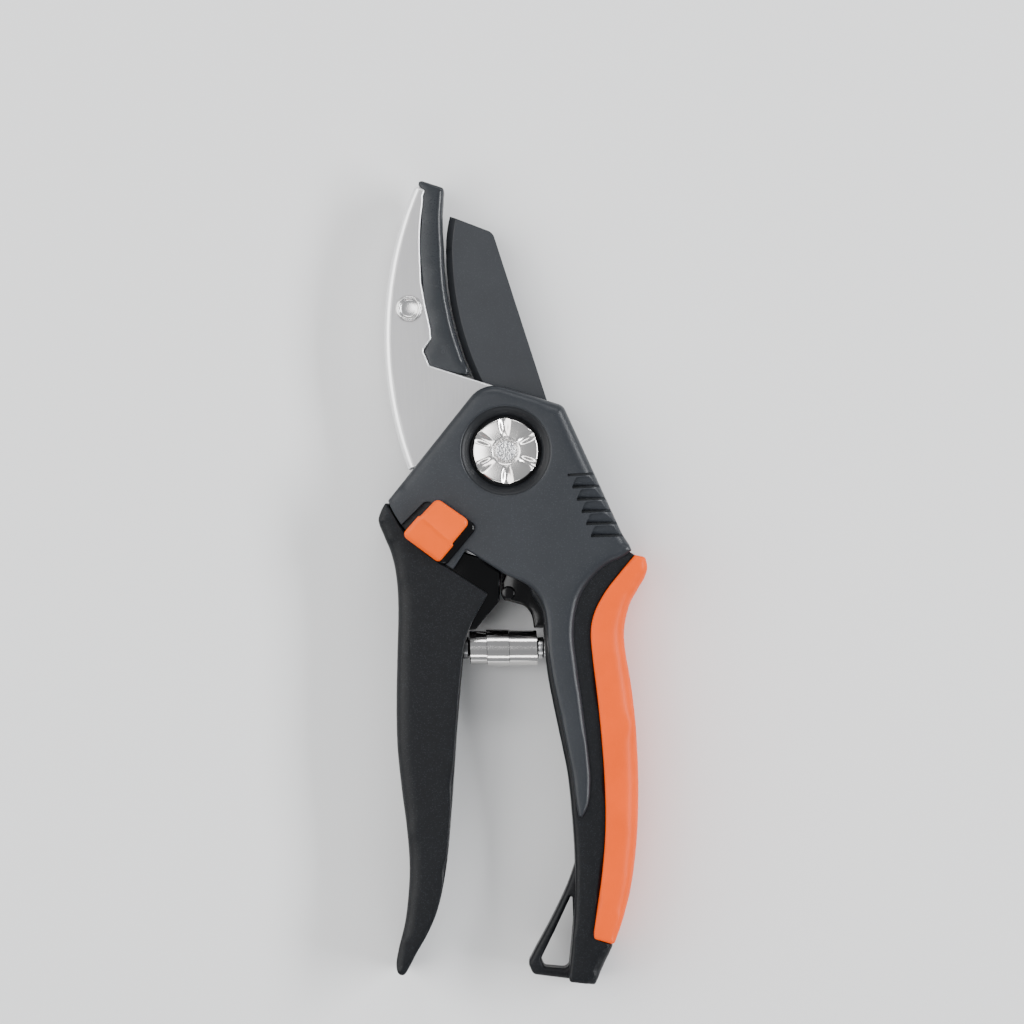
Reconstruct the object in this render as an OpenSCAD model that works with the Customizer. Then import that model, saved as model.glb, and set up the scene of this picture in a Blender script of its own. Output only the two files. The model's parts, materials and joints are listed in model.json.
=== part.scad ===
// Anvil pruner, lying on its back: +Z is the pivot axis, +Y runs from the pivot to the jaw tip.
// The origin is on the pivot axis, in the plane that the back of the tool rests on.

/* [Thickness] */
// Thickness of the head and both handles
tool_t = 17; // [16:0.5:19]
// Thickness of the blade and its tang
blade_t = 2.5; // [2:0.1:2.8]
// Thickness of the sheet that the jaw channel is folded from
sheet_t = 1.5; // [1.2:0.1:1.6]
// Clear width between the cheeks of the jaw channel
channel_gap = 5.5; // [5.2:0.1:5.8]

/* [Pivot] */
// Diameter of the pivot bolt
bolt_d = 5.2; // [4.8:0.1:5.6]
// Diameter of the rosette nut
nut_d = 15; // [14:0.5:15.5]
// Angle that the lever opens through
open_angle = 26; // [20:1:27]

/* [Lock] */
// Travel of the lock slide
lock_travel = 3.5; // [3:0.1:3.6]

/* [Spring] */
// Outer diameter of the volute spring
spring_d = 8.4; // [7.5:0.1:8.8]

/* [Hidden] */
$fn = 64;

// Heights are measured from the middle plane, so that the front and the back mirror each other.
mid_z = tool_t / 2;
half_t = tool_t / 2;
blade_h = blade_t / 2;
gap_h = channel_gap / 2;
cheek_h = gap_h + sheet_t;
field_h = half_t - 1.3;
neck_h = cheek_h - 0.35;

// The seam between head and lever: an arc about the pivot that runs out into a straight line.
seam_r = 29.5;
seam_gap = 0.4;
seam_angle = 237.1;
seam_start = 204;
seam_n = [cos(seam_angle), sin(seam_angle)];
seam_t = [-seam_n.y, seam_n.x];
channel_r = 23.7;
channel_from = 4.6;

// The two arcs that the cutting edge and the anvil face follow.
edge_y = 46.5;
edge_x = -13.8;
edge_r = 72;
toe_r = 32;
face_gap = 0.25;

// The back of the jaw channel is one arc.
spine_c = [59.3, 26.5];
spine_r = 87.2;
fold_r = 1.7;
rivet_at = [-22.1, 32.6];

// The lock slides on a line through the pivot.
lock_angle = 228.9;
lock_r = 23.74;
lock_pin_r = 21.3;
lock_pin_d = 3;
slot_w = 3.3;

spring_at = [-0.55, -45.1];
spring_l = 15.6;
body_screw_at = [[21.2, -24.4], [14.6, -46.5], [19.3, -90]];
lever_screw_at = [[-17, -45], [-17.6, -92]];
screw_d = 2.6;
bumper_at = [0.55, -32.4];
bumper_d = 2.6;
screw_head_d = 5.6;

// ---- outlines ----

function unit(v) = v / norm(v);
function arc(c, r, a0, a1, n = 12) = [for (i = [0:n]) let (a = a0 + (a1 - a0) * i / n)
    c + r * [cos(a), sin(a)]];
function polar(r, a) = r * [cos(a), sin(a)];
function reversed(p) = [for (i = [len(p) - 1:-1:0]) p[i]];

// A smooth curve through the points of p, with n steps between two of them.
function curve(p, n = 4) = concat(
    [for (i = [0:len(p) - 2], k = [0:n - 1])
        let (t = k / n, a = p[max(i - 1, 0)], b = p[i], c = p[i + 1], d = p[min(i + 2, len(p) - 1)])
        b + 0.5 * t * ((c - a) + t * ((2 * a - 5 * b + 4 * c - d) + t * (3 * b - a - 3 * c + d)))],
    [p[len(p) - 1]]);

// Rounds the corner at q, between p and s, with radius r.
function fillet(p, q, s, r, n = 6) =
    let (a = unit(p - q), b = unit(s - q), half = acos(a * b) / 2, c = q + unit(a + b) * r / sin(half),
        from = q + a * r / tan(half) - c, to = q + b * r / tan(half) - c,
        a0 = atan2(from.y, from.x), turn = atan2(to.y, to.x) - a0,
        sweep = turn > 180 ? turn - 360 : turn < -180 ? turn + 360 : turn)
    [for (i = [0:n]) c + r * [cos(a0 + sweep * i / n), sin(a0 + sweep * i / n)]];

// An outline of corners [x, y, radius].
function rounded(p) = [for (i = [0:len(p) - 1])
    let (n = len(p), a = p[(i + n - 1) % n], b = p[i], c = p[(i + 1) % n])
    each (b.z > 0 ? fillet([a.x, a.y], [b.x, b.y], [c.x, c.y], b.z) : [[b.x, b.y]])];

// Moves a counterclockwise outline inwards by d.
function inset(p, d) = [for (i = [0:len(p) - 1])
    let (n = len(p), a = p[(i + n - 1) % n], b = p[i], c = p[(i + 1) % n], e = unit(b - a), f = unit(c - b),
        u = [-e.y, e.x], v = [-f.y, f.x])
    b + (u + v) * d / (1 + u * v)];

// A closed skin over copies of one outline, each given as [inset, height], with rounded edges.
module skin(outline, levels) {
    n = len(outline);
    rings = [for (l = levels) let (ring = inset(outline, l[0])) [for (q = ring) [q.x, q.y, l[1]]]];
    top = (len(levels) - 1) * n;
    polyhedron(
        points = [for (ring = rings) each ring],
        faces = concat(
            [[for (i = [0:n - 1]) i]],
            [for (k = [0:len(levels) - 2], i = [0:n - 1])
                let (a = k * n + i, b = k * n + (i + 1) % n) [a, a + n, b + n]],
            [for (k = [0:len(levels) - 2], i = [0:n - 1])
                let (a = k * n + i, b = k * n + (i + 1) % n) [a, b + n, b]],
            [[for (i = [n - 1:-1:0]) top + i]]));
}

module slab(outline, h0, h1) {
    translate([0, 0, h0]) linear_extrude(h1 - h0) polygon(outline);
}

// A slab from the middle plane up to height h, whose top edge is rounded in two steps.
module stepped(outline, h) {
    for (step = [[0, 0.9], [0.3, 0.3], [0.9, 0]]) slab(inset(outline, step[0]), 0, h - step[1]);
}

// Puts half of the tool in front of the middle plane, or behind it.
module front() { translate([0, 0, mid_z]) children(); }
module back() { translate([0, 0, mid_z]) mirror([0, 0, 1]) children(); }

// The levels of an edge that is rounded by r, from height h0 up to h1.
function round_edge(h0, h1, r, n = 3) = concat([[0, h0]],
    [for (i = [0:n]) [r * (1 - cos(90 * i / n)), h1 - r + r * sin(90 * i / n)]]);

// ---- outline of the lever ----

seam_corner = seam_r * seam_n + 14.3 * seam_t;
lever_outline = concat(
    [polar(seam_r, seam_start), [-28.4, -13.6]],
    curve([[-29, -16], [-27.6, -19.6], [-26, -23.6], [-24.9, -28.8], [-24.5, -36], [-24.7, -46], [-24.9, -57],
        [-24.7, -67], [-23.7, -77], [-22.4, -87], [-21.9, -96], [-22.7, -106], [-24.4, -113.5],
            [-24.8, -116.8]], 2),
    [[-24.2, -118.9], [-22.5, -118.6]],
    curve([[-20.2, -114.2], [-17.4, -109.2], [-15.2, -103.5], [-13.7, -96], [-12.8, -87], [-12, -76],
        [-11.2, -64],
        [-10.2, -52], [-9.4, -44.5], [-7.6, -39], seam_corner], 2),
    [seam_r * seam_n],
    [for (i = [1:9]) polar(seam_r, seam_angle + (seam_start - seam_angle) * i / 10)]);

// The part of the lever that slides between the two head plates, with the web beside the spring.
neck_outline = concat(
    arc([0, 0], 24.9, 207, 258, 10),
    [[-1.2, -27.6], [-1.4, -34.2], [-6.8, -40.7], [-13, -42], [-20, -34], polar(31.5, 218),
        polar(31.5, 207)]);

// ---- outlines of the body ----

handle_inner = curve([[6, -33], [7.9, -36], [8.6, -39.5], [8.9, -44.5], [9.6, -51], [11, -58.5],
    [12.7, -66.5], [14.2, -74], [15.3, -82], [15.8, -90], [15.4, -96]], 3);
loop_outer = curve([[14, -99.8], [11.8, -104.5], [9.4, -109.2], [6.9, -113.8], [5.6, -116.8], [5.9, -118.6],
    [7.6, -119.9]], 3);
grip_edge = curve([[20.1, -109.4], [20.9, -104], [22, -96], [22.7, -86.5], [22.6, -76.5], [21.9, -66],
    [20.9, -56],
    [19.8, -47], [19.4, -41], [20.3, -36.6], [22.6, -32.2], [25.8, -28], [29.4, -23.7]], 2);
grip_outer = curve([[31.8, -24.2], [32.3, -26.6], [31.6, -29], [30.3, -31.2], [28.2, -35.3], [27.1, -40.5],
    [27.3, -45.5], [28.6, -53], [29.6, -61.5], [30.2, -71], [30.3, -81], [29.7, -91.5], [28.2, -101.5],
    [25.7, -110]], 2);
head_top = concat(
    [[26.5, -18.8]],
    fillet([26.5, -18.8], [13.1, 10.4], [-5.1, 16], 2.5),
    fillet([13.1, 10.4], [-5.1, 16], polar(seam_r - seam_gap, seam_start), 8));
head_seam = concat(
    [for (i = [0:9]) polar(seam_r - seam_gap, seam_start + (seam_angle - seam_start) * i / 9)],
    [(seam_r - seam_gap) * seam_n + channel_from * seam_t, channel_r * seam_n + channel_from * seam_t,
        channel_r * seam_n + 15.2 * seam_t]);

// The sunk face of the handle, which starts under the plate.
field_outline = concat([[9, -20], [4, -27]], handle_inner, loop_outer,
    [[20.3, -121.7], [22.4, -117.2], [24.6, -112.4], [21.4, -111.4]], grip_edge, [[26, -21.5]]);

// The raised plate on the head, which runs down the handle as a tongue.
plate_outline = concat(head_seam,
    curve([[3, -29.4], [5.9, -31.3], [8.2, -34.4], [9.4, -38.5], [10, -44.5], [11, -51], [12.5, -58.5],
        [14.2, -66.5],
        [15.4, -74], [16, -79.4]], 2),
    [[16.8, -81.2], [18.4, -81.2]],
    curve([[19.1, -79.4], [19.3, -74], [18.5, -67], [17.3, -57.5], [16.2, -49.5], [15.5, -41.5], [16.3, -35],
        [18.6, -30.3], [22.4, -26.3], [27.8, -23.3]], 2),
    head_top);

// What the shells leave open for the jaw channel, the blade and the lever.
head_pocket = concat(
    [[-34, -12], [-30, -22], [-17, -29], [-2, -31.5], [1.2, -28.5]],
    arc([0, 0], 18, 285, 325, 6),
    [[14, -3], [14, 2.2], [18, 3.4], [22, 12], [0, 22], [-20, 8]]);
handle_hollow = rounded([[16.9, -80, 1], [18, -97, 1], [17.6, -114, 1], [20.6, -114, 1], [18.6, -109, 1],
    [20.6, -96, 1], [21.2, -80, 1]]);

// ---- jaw channel, anvil and blade ----

// Turns children about the centre of the cutting edge's arc, from the heel to the toe.
module along_edge(r, y_low) {
    translate([edge_x + r, edge_y]) rotate([0, 0, 180]) rotate_extrude(angle = asin((edge_y - y_low) / r),
        $fn = 200)
        children();
}

module along_toe(y_high) {
    turn = asin((y_high - edge_y) / toe_r);
    translate([edge_x + toe_r, edge_y]) rotate([0, 0, 180 - turn]) rotate_extrude(angle = turn, $fn = 200)
        children();
}

function edge_points(gap, y_low, y_high) =
    let (low = asin((edge_y - y_low) / edge_r), high = asin((y_high - edge_y) / toe_r))
    concat(arc([edge_x + toe_r, edge_y], toe_r + gap, 180 - high, 180, 5),
        [for (i = [1:14]) [edge_x + edge_r, edge_y] + polar(edge_r + gap, 180 + low * i / 14)]);

cheek_outline = concat(
    arc(spine_c, spine_r - fold_r - 0.5, 157.1, 200.4, 30),
    [[-19.6, -5], [-13, -5.6]],
    arc([0, 0], 13.6, 206, 268, 10),
    curve([[2.6, -15], [6.5, -23.5], [13.8, -33], [12.4, -45], [14.2, -58], [16.6, -70]], 3),
    [[18.2, -70]],
    curve([[17.4, -58], [17, -45], [17.5, -33], [17.8, -22], [16.4, -9]], 3),
    [[13, 2]],
    fillet([13, 2], [11.2, 10.6], [-17.4, 19.6], 1.5),
    fillet([11.2, 10.6], [-17.4, 19.6], [-18.9, 23], 0.7, 4),
    fillet([-17.4, 19.6], [-18.9, 23], [-17, 25.6], 1, 4),
    [[-17, 25.6], [-17.2, 28], [-18.3, 33]],
    curve([[-19.3, 38.5], [-19.6, 45.5], [-19.5, 52], [-18.9, 57.5], [-19.3, 59.4]], 3));

module anvil_frame() {
    color("silver") front() {
        for (side = [0, 1]) mirror([0, 0, side]) difference() {
            slab(cheek_outline, gap_h, cheek_h);
            translate([0, 0, gap_h - 1]) cylinder(d = bolt_d + 0.1, h = sheet_t + 2);
            translate([rivet_at.x, rivet_at.y, gap_h - 1]) cylinder(d = 3.9, h = sheet_t + 2);
            translate([body_screw_at[1].x, body_screw_at[1].y, gap_h - 1]) cylinder(d = 3.2, h = sheet_t + 2);
        }
        translate([spine_c.x, spine_c.y]) rotate([0, 0, 156.9]) rotate_extrude(angle = 43.8, $fn = 200)
            polygon(concat(
            [[spine_r - fold_r - 1, cheek_h], [spine_r - fold_r - 1, gap_h], [spine_r - sheet_t, gap_h],
                [spine_r - sheet_t, -gap_h], [spine_r - fold_r - 1, -gap_h],
                    [spine_r - fold_r - 1, -cheek_h]],
            arc([spine_r - fold_r, -cheek_h + fold_r], fold_r, 270, 360, 6),
            arc([spine_r - fold_r, cheek_h - fold_r], fold_r, 0, 90, 6)));
    }
}

// A thick head that the blade closes on, and a thinner web held between the cheeks.
anvil_head = concat(
    [[-9.4, 16.6], [-17.3, 19.1], [-18.7, 23], [-16.9, 25.6], [-18.1, 33]],
    curve([[-19.1, 38.5], [-19.4, 45.5], [-19.3, 52], [-18.7, 57.5], [-19.2, 59.6]], 3),
    [[-20.35, 61.05], [-19.4, 61.8], [-18, 61.9]],
    fillet([-18, 61.9], [-14.1, 60.2], [-14.4, 54], 0.9),
    [[-14.45, 54], [-14.3, 50]],
    edge_points(0, 17.6, 46.6));
anvil_web = concat(
    [[-9.4, 17.2], [-12, 15.8], [-15, 17.2]],
    [for (i = [0:20]) spine_c + polar(spine_r - sheet_t - 0.15, 186 - 28 * i / 20)],
    [[-16, 58]]);

module anvil() {
    color("#26282b") front() difference() {
        union() {
            for (side = [0, 1]) mirror([0, 0, side]) slab(anvil_head, 0, gap_h + 0.7);
            slab(anvil_web, -gap_h + 0.05, gap_h - 0.05);
        }
        translate([0, 0, -10]) linear_extrude(20) polygon(concat(edge_points(face_gap, 15.5, 62),
            [[0, 15.5], [0, 62]]));
        for (side = [0, 1]) mirror([0, 0, side]) slab(inset(cheek_outline, -0.05), gap_h - 0.05, cheek_h + 1);
        slab([[-18.2, 59.9], [-20.9, 60.95], [-22.5, 59], [-19.3, 57]], -cheek_h, cheek_h);
        along_edge(edge_r, 16) translate([edge_r + face_gap - 0.1, -0.7]) square([0.5, 1.4]);
        translate([rivet_at.x, rivet_at.y, -10]) cylinder(d = 3.9, h = 20);
    }
}
module anvil_rivet() {
    color("silver") translate([rivet_at.x, rivet_at.y, mid_z]) rotate_extrude() polygon([
        [1.5, -cheek_h - 0.7], [2.3, -cheek_h - 0.7], [2.9, -cheek_h], [1.9, -cheek_h], [1.9, cheek_h],
            [2.9, cheek_h],
        [2.3, cheek_h + 0.7], [1.9, cheek_h + 0.7], [1.3, cheek_h - 0.6], [0, cheek_h - 0.8],
            [0, -cheek_h - 0.1],
        [1.5, -cheek_h - 0.1]]);
}

blade_outline = concat(
    edge_points(0, 17.6, 54),
    [[-9.8, 12]],
    arc([0, 0], 12.6, 150, 218, 8),
    curve([[-14.4, -17.8], [-18.4, -27], [-20, -38], [-19.6, -52], [-19.2, -62]], 3),
    [[-15.2, -62]],
    curve([[-14.4, -52], [-13.2, -42], [-9.4, -33], [-5.6, -24], [-3.6, -14]], 3),
    arc([0, 0], 12.6, 290, 378, 10),
    fillet([10.7, 11.8], [-3, 50.2], [-12.8, 54.3], 2.4));

module blade() {
    color("#3a3d42") front() difference() {
        slab(blade_outline, -blade_h, blade_h);
        for (side = [0, 1]) mirror([0, 0, side]) {
            along_edge(edge_r, 10) polygon([[edge_r - 1.6, blade_h], [edge_r + 0.5, -0.4],
                [edge_r + 0.5, blade_h + 1],
                [edge_r - 1.6, blade_h + 1]]);
            along_toe(58) polygon([[toe_r - 1.6, blade_h], [toe_r + 0.5, -0.4], [toe_r + 0.5, blade_h + 1],
                [toe_r - 1.6, blade_h + 1]]);
        }
        translate([0, 0, -10]) cylinder(d = bolt_d + 2.1, h = 20);
        translate([lever_screw_at[0].x, lever_screw_at[0].y, -10]) cylinder(d = 3.2, h = 20);
        for (p = gate_rivet_at) translate([p.x, p.y, -10]) cylinder(d = 2, h = 20);
    }
}

// ---- pivot ----

module pivot_bush() {
    color("#b08d4a") front() difference() {
        translate([0, 0, -blade_h]) cylinder(d = bolt_d + 2, h = blade_t);
        translate([0, 0, -10]) cylinder(d = bolt_d + 0.1, h = 20);
    }
}

module friction_washers() {
    color("#b08d4a") for (side = [0, 1]) front() mirror([0, 0, side]) difference() {
        translate([0, 0, blade_h + 0.03]) cylinder(d = 17, h = gap_h - blade_h - 0.06);
        translate([0, 0, 0]) cylinder(d = bolt_d + 0.1, h = 20);
    }
}

nut_h = 3.2;
washer_t = 0.6;
module nut_washer() {
    color("#8f9296") front() difference() {
        translate([0, 0, cheek_h]) cylinder(d = 15.6, h = washer_t);
        cylinder(d = bolt_d + 0.1, h = 20);
    }
}

module pivot_nut() {
    z0 = cheek_h + washer_t;
    color("#d8d8da") front() difference() {
        rotate_extrude() polygon([[bolt_d / 2 + 0.02, z0], [nut_d / 2 - 0.3, z0], [nut_d / 2, z0 + 0.4],
            [nut_d / 2, z0 + nut_h - 1], [nut_d / 2 - 0.4, z0 + nut_h - 0.6], [3.6, z0 + nut_h],
                [3.3, z0 + nut_h - 0.3],
            [bolt_d / 2 + 0.02, z0 + nut_h - 0.3]]);
        for (i = [0:5]) rotate([0, 0, 34 + 60 * i]) translate([4.4, 0, z0 + nut_h + 0.35]) rotate([0, 97, 0])
            cylinder(d = 2.6, h = 6);
    }
}

module pivot_bolt() {
    color("#c9cacc") front() {
        translate([0, 0, -half_t]) cylinder(d = 11.5, h = half_t - cheek_h, $fn = 6);
        translate([0, 0, -cheek_h - 0.5]) cylinder(d = bolt_d,
            h = cheek_h + cheek_h + washer_t + nut_h - 0.1);
        translate([0, 0, cheek_h + washer_t + nut_h - 0.6]) cylinder(d1 = bolt_d, d2 = bolt_d - 0.8, h = 0.9);
    }
}

// ---- body ----

// The low wall that closes the top of the finger gap, and the boss on it that holds the stop bumper.
lip_outline = concat(
    [[0.3, -27.2], [-0.8, -30], [-0.8, -33.2]],
    curve([[-0.3, -34.1], [1.8, -34.6], [4.2, -35.4], [5.6, -36.9], [6.2, -38.7], [6.4, -40.4]], 3),
    [[10, -40.4], [11.2, -38], [9.6, -30], [4, -26]]);
lip_h = cheek_h + 0.1;

module lip() {
    difference() {
        union() {
            slab(lip_outline, 0, lip_h);
            translate([bumper_at.x, bumper_at.y, 0]) cylinder(r = 1.6, h = lip_h + 0.9);
        }
        translate([bumper_at.x, bumper_at.y, -1]) cylinder(d = bumper_d + 0.1, h = 3.1);
    }
}

// One half of the body, in front of the middle plane.
module body_half() {
    lip();
    difference() {
        union() {
            stepped(field_outline, field_h);
            stepped(plate_outline, half_t);
        }
        slab(head_pocket, -1, cheek_h);
        slab(inset(cheek_outline, -0.1), -1, cheek_h);
        slab(handle_hollow, -1, 5);
        slab(loop_hole, -1, half_t + 1);
        slab(loop_cut, 3, half_t + 1);
        seat_hole(7.3);
        translate([body_screw_at[1].x, body_screw_at[1].y, -1]) cylinder(d = 4.8, h = gap_h + 1);
        for (i = [0:5]) translate([19.6 + 1.34 * i, -5.2 - 2.84 * i, half_t - 1.3]) rotate([0, 0, 182])
            translate([-2.5, -0.35, 0]) cube([8.2, 0.7, 3]);
    }
}
loop_hole = rounded([[15.2, -104.5, 0.8], [11.6, -109.2, 6], [8, -116.4, 0.9], [8.8, -118.1, 1],
    [14.2, -118.6, 1.6],
    [15.4, -111, 8]]);
// The loop is thinner than the handle: what is cut away above it.
loop_cut = [[15.4, -95], [15.6, -104], [15.6, -120.2], [14, -124], [2, -124], [2, -112], [12.5, -95]];

module body_screw_holes(d, h0, h1) {
    for (p = body_screw_at) translate([p.x, p.y, h0]) cylinder(d = d, h = h1 - h0);
}

module lock_frame(slide = 0) {
    rotate([0, 0, lock_angle]) translate([lock_r - slide, 0, 0]) children();
}

module body_front_shell() {
    color("#2e3034") front() difference() {
        body_half();
        cylinder(d = 16.4, h = 20);
        translate([0, 0, half_t - 1.6]) cylinder(d1 = 16.4, d2 = 20.4, h = 2);
        body_screw_holes(screw_d, -1, 6.5);
        // the slot for the lock's stem, and the groove of its detent spring
        lock_frame() translate([lock_pin_r - lock_r - lock_travel - slot_w / 2, -slot_w / 2, 0])
            cube([lock_travel + slot_w, slot_w, 20]);
        lock_frame() translate([-5.6, 3, half_t - 1]) cube([9, 1.6, 3]);
    }
}

module body_back_shell() {
    color("#2e3034") back() difference() {
        body_half();
        cylinder(d = 14, h = 20);
        body_screw_holes(screw_d + 0.3, -1, 20);
        for (p = body_screw_at) translate([p.x, p.y, half_t - 3.2]) cylinder(d = screw_head_d + 0.4, h = 10);
    }
}

module screw(length) {
    cylinder(d = screw_d - 0.1, h = length);
    difference() {
        rotate_extrude() polygon([[0, 0], [screw_d / 2, 0], [screw_head_d / 2, 0.9], [screw_head_d / 2, 1.4],
            [1.4, 2.1], [0, 2.1]]);
        for (a = [0, 90]) rotate([0, 0, a]) translate([-1.7, -0.35, 1]) cube([3.4, 0.7, 2]);
    }
}

module screws(places) {
    color("#b9bbbe") back() for (p = places) translate([p.x, p.y, half_t - 3.2]) {
        screw(0.5);
        mirror([0, 0, 1]) cylinder(d = screw_d - 0.1, h = 11.3);
    }
}
module body_screws() { screws(body_screw_at); }
module lever_screws() { screws(lever_screw_at); }

// A sleeve between the cheeks, where a screw crosses them.
module tang_spacers() {
    color("#8f9296") translate([body_screw_at[1].x, body_screw_at[1].y, mid_z]) difference() {
        translate([0, 0, -gap_h]) cylinder(d = 4.6, h = channel_gap);
        translate([0, 0, -10]) cylinder(d = 3, h = 20);
    }
}

grip_points = concat([[24.6, -112.4]], reversed(grip_outer), reversed(grip_edge), [[21.4, -111.4]]);
module grip_inlay() {
    levels = round_edge(0, half_t - 0.5, 1.5, 4);
    color("#f47a1f") front() for (side = [0, 1]) mirror([0, 0, side]) skin(inset(grip_points, 0.02), levels);
}

module stop_bumper() {
    color("#1b1c1e") front() translate([bumper_at.x, bumper_at.y, -2]) cylinder(d = bumper_d, h = 4);
}

// ---- spring ----

// A stud with a flange, pressed into a handle, that keeps the spring in place.
module seat() {
    cylinder(d = 4, h = 4);
    cylinder(d = 5, h = 1.3);
    translate([0, 0, -1.8]) cylinder(d1 = 2.8, d2 = 3.6, h = 1.8);
}

// The hole that a seat sits in, with its flange at x.
module seat_hole(x) {
    translate([x, spring_at.y, 0]) rotate([0, 90, 0]) {
        cylinder(d = 4.1, h = 4.1);
        cylinder(d = 5.2, h = 1.35);
    }
}

module spring_seat_right() {
    color("#c9cacc") translate([7.35, spring_at.y, mid_z]) rotate([0, 90, 0]) seat();
}

module spring_seat_left() {
    color("#c9cacc") translate([-8.5, spring_at.y, mid_z]) rotate([0, -90, 0]) seat();
}

// Two volutes end to end: the turns step down from the middle to both ends.
module volute_spring() {
    r = spring_d / 2;
    color("#d8d8da") translate([spring_at.x - spring_l / 2, spring_at.y, mid_z]) rotate([0, 90, 0])
        rotate_extrude()
        polygon([[2.3, 0], [r - 0.9, 0], [r - 0.8, 2.6], [r - 0.45, 2.7], [r - 0.4, 5.2], [r, 5.3], [r, 9.6],
            [r - 0.3, 9.7], [r - 0.4, 12.8], [r - 0.7, 12.9], [r - 0.9, spring_l], [2.3, spring_l]]);
}

// ---- lever ----

gate_rivet_at = [polar(14.6, 243), polar(25.2, 246)];
// The gate lets the lock's pin run free in an arc, and has a notch for it at both ends.
gate_outline = concat(arc([0, 0], 11, 219, 262, 8), [polar(19.6, 263)], arc([0, 0], 26.6, 262, 222, 8),
    [polar(20, 217.5)]);

module gate_plate() {
    first = lock_angle;
    last = lock_angle + open_angle;
    color("#55585c") front() difference() {
        slab(gate_outline, blade_h, gap_h - 0.2);
        slab(concat(arc([0, 0], lock_pin_r + 1.75, first, last, 8),
            arc([0, 0], lock_pin_r - 1.75, last, first, 8)),
            0, 10);
        for (a = [first, last]) rotate([0, 0, a]) {
            translate([lock_pin_r - lock_travel, 0, 0]) cylinder(d = 3.4, h = 10);
            translate([lock_pin_r, 0, 0]) cylinder(d = 3.5, h = 10);
            translate([lock_pin_r - lock_travel, -1.7, 0]) cube([lock_travel, 3.4, 10]);
        }
        for (p = gate_rivet_at) translate([p.x, p.y, 0]) cylinder(d = 2, h = 10);
    }
}

module gate_rivets() {
    color("#c9cacc") front() for (p = gate_rivet_at) translate([p.x, p.y, -blade_h]) cylinder(d = 1.95,
        h = blade_h + gap_h - 0.2);
}

lever_hollow = rounded([[-21.6, -62, 1.5], [-20.2, -84, 6], [-19.4, -96, 6], [-20.6, -105, 1],
    [-17.4, -103, 1],
    [-15.7, -94, 6], [-14.2, -62, 1]]);

module lever_half() {
    difference() {
        union() {
            stepped(lever_outline, half_t);
            slab(neck_outline, 0, neck_h);
        }
        slab(inset(blade_outline, -0.1), -1, blade_h + 0.02);
        slab(gate_clear, -1, gap_h);
        slab(lever_hollow, -1, 5.2);
        mirror([1, 0, 0]) seat_hole(8.45);
    }
}
gate_clear = concat(arc([0, 0], 10, 214, 266, 8), arc([0, 0], 27, 266, 214, 8));

module lever_front_shell() {
    color("#26282b") front() difference() {
        lever_half();
        for (p = lever_screw_at) translate([p.x, p.y, -1]) cylinder(d = screw_d, h = 7.5);
    }
}

module lever_back_shell() {
    color("#26282b") back() difference() {
        lever_half();
        for (p = lever_screw_at) {
            translate([p.x, p.y, -1]) cylinder(d = screw_d + 0.3, h = 20);
            translate([p.x, p.y, half_t - 3.2]) cylinder(d = screw_head_d + 0.4, h = 10);
        }
    }
}

// ---- lock ----

cap_outline = reversed(rounded([[-5.4, -4.7, 1.2], [-6.4, 4.6, 1.2], [5.4, 4.9, 1.2], [6.2, -5, 1.2]]));
slide_outline = reversed(rounded([[-5.7, -6.3, 1.3], [-6.7, 6.6, 1.3], [5.2, 6.9, 1.3], [6.1, -6.4, 1.3]]));
slide_h = half_t + 0.1;
cap_h = slide_h + 1.5;

module lock_slide() {
    color("#151618") front() lock_frame() difference() {
        union() {
            slab(slide_outline, slide_h, slide_h + 1.1);
            slab(inset(slide_outline, 0.4), slide_h, cap_h);
            translate([lock_pin_r - lock_r, 0, cheek_h + 0.1]) cylinder(d = lock_pin_d, h = half_t - cheek_h);
        }
        translate([lock_pin_r - lock_r, 0, 0]) cylinder(d = lock_pin_d - 1, h = 20);
    }
}

module lock_pin() {
    color("#c9cacc") front() lock_frame() translate([lock_pin_r - lock_r, 0, blade_h + 0.2]) {
        cylinder(d = lock_pin_d, h = cheek_h - blade_h - 0.15);
        cylinder(d = lock_pin_d - 1.05, h = cap_h - 0.3 - blade_h);
    }
}

module lock_retainer() {
    color("#8f9296") front() lock_frame() translate([lock_pin_r - lock_r, 0, gap_h + 0.15]) difference() {
        cylinder(d = 5, h = 1);
        translate([0, 0, -1]) cylinder(d = lock_pin_d + 0.05, h = 4);
    }
}

// The thumb rest: a high half with a step down to a sloping half.
module lock_cap() {
    color("#f47a1f") front() lock_frame() difference() {
        union() {
            slab(cap_outline, cap_h, cap_h + 2.1);
            slab(inset(cap_outline, 0.5), cap_h, cap_h + 2.8);
        }
        translate([0.3, -8, cap_h + 2.5]) rotate([0, 10, 0]) cube([10, 16, 4]);
    }
}

module lock_detent_spring() {
    color("#c9cacc") front() lock_frame() translate([-5.2, 4.4, half_t - 0.98]) rotate([90, 0, 0])
        linear_extrude(1.2)
        polygon([[0, 0], [2.2, 0], [3.2, 0.45], [5, 0.45], [6, 0], [8.2, 0], [8.2, 0.35], [6.2, 0.35],
            [5.2, 0.8],
            [3, 0.8], [2, 0.35], [0, 0.35]]);
}

anvil_frame();
anvil();
anvil_rivet();
body_front_shell();
body_back_shell();
grip_inlay();
pivot_bolt();
pivot_nut();
nut_washer();
friction_washers();
body_screws();
tang_spacers();
spring_seat_right();
volute_spring();
stop_bumper();
lock_detent_spring();
blade();
pivot_bush();
gate_plate();
gate_rivets();
lever_front_shell();
lever_back_shell();
lever_screws();
spring_seat_left();
lock_cap();
lock_slide();
lock_pin();
lock_retainer();
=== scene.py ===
import json
import math
import bmesh
import bpy
import numpy as np
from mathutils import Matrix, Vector
from mathutils.geometry import delaunay_2d_cdt


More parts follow.
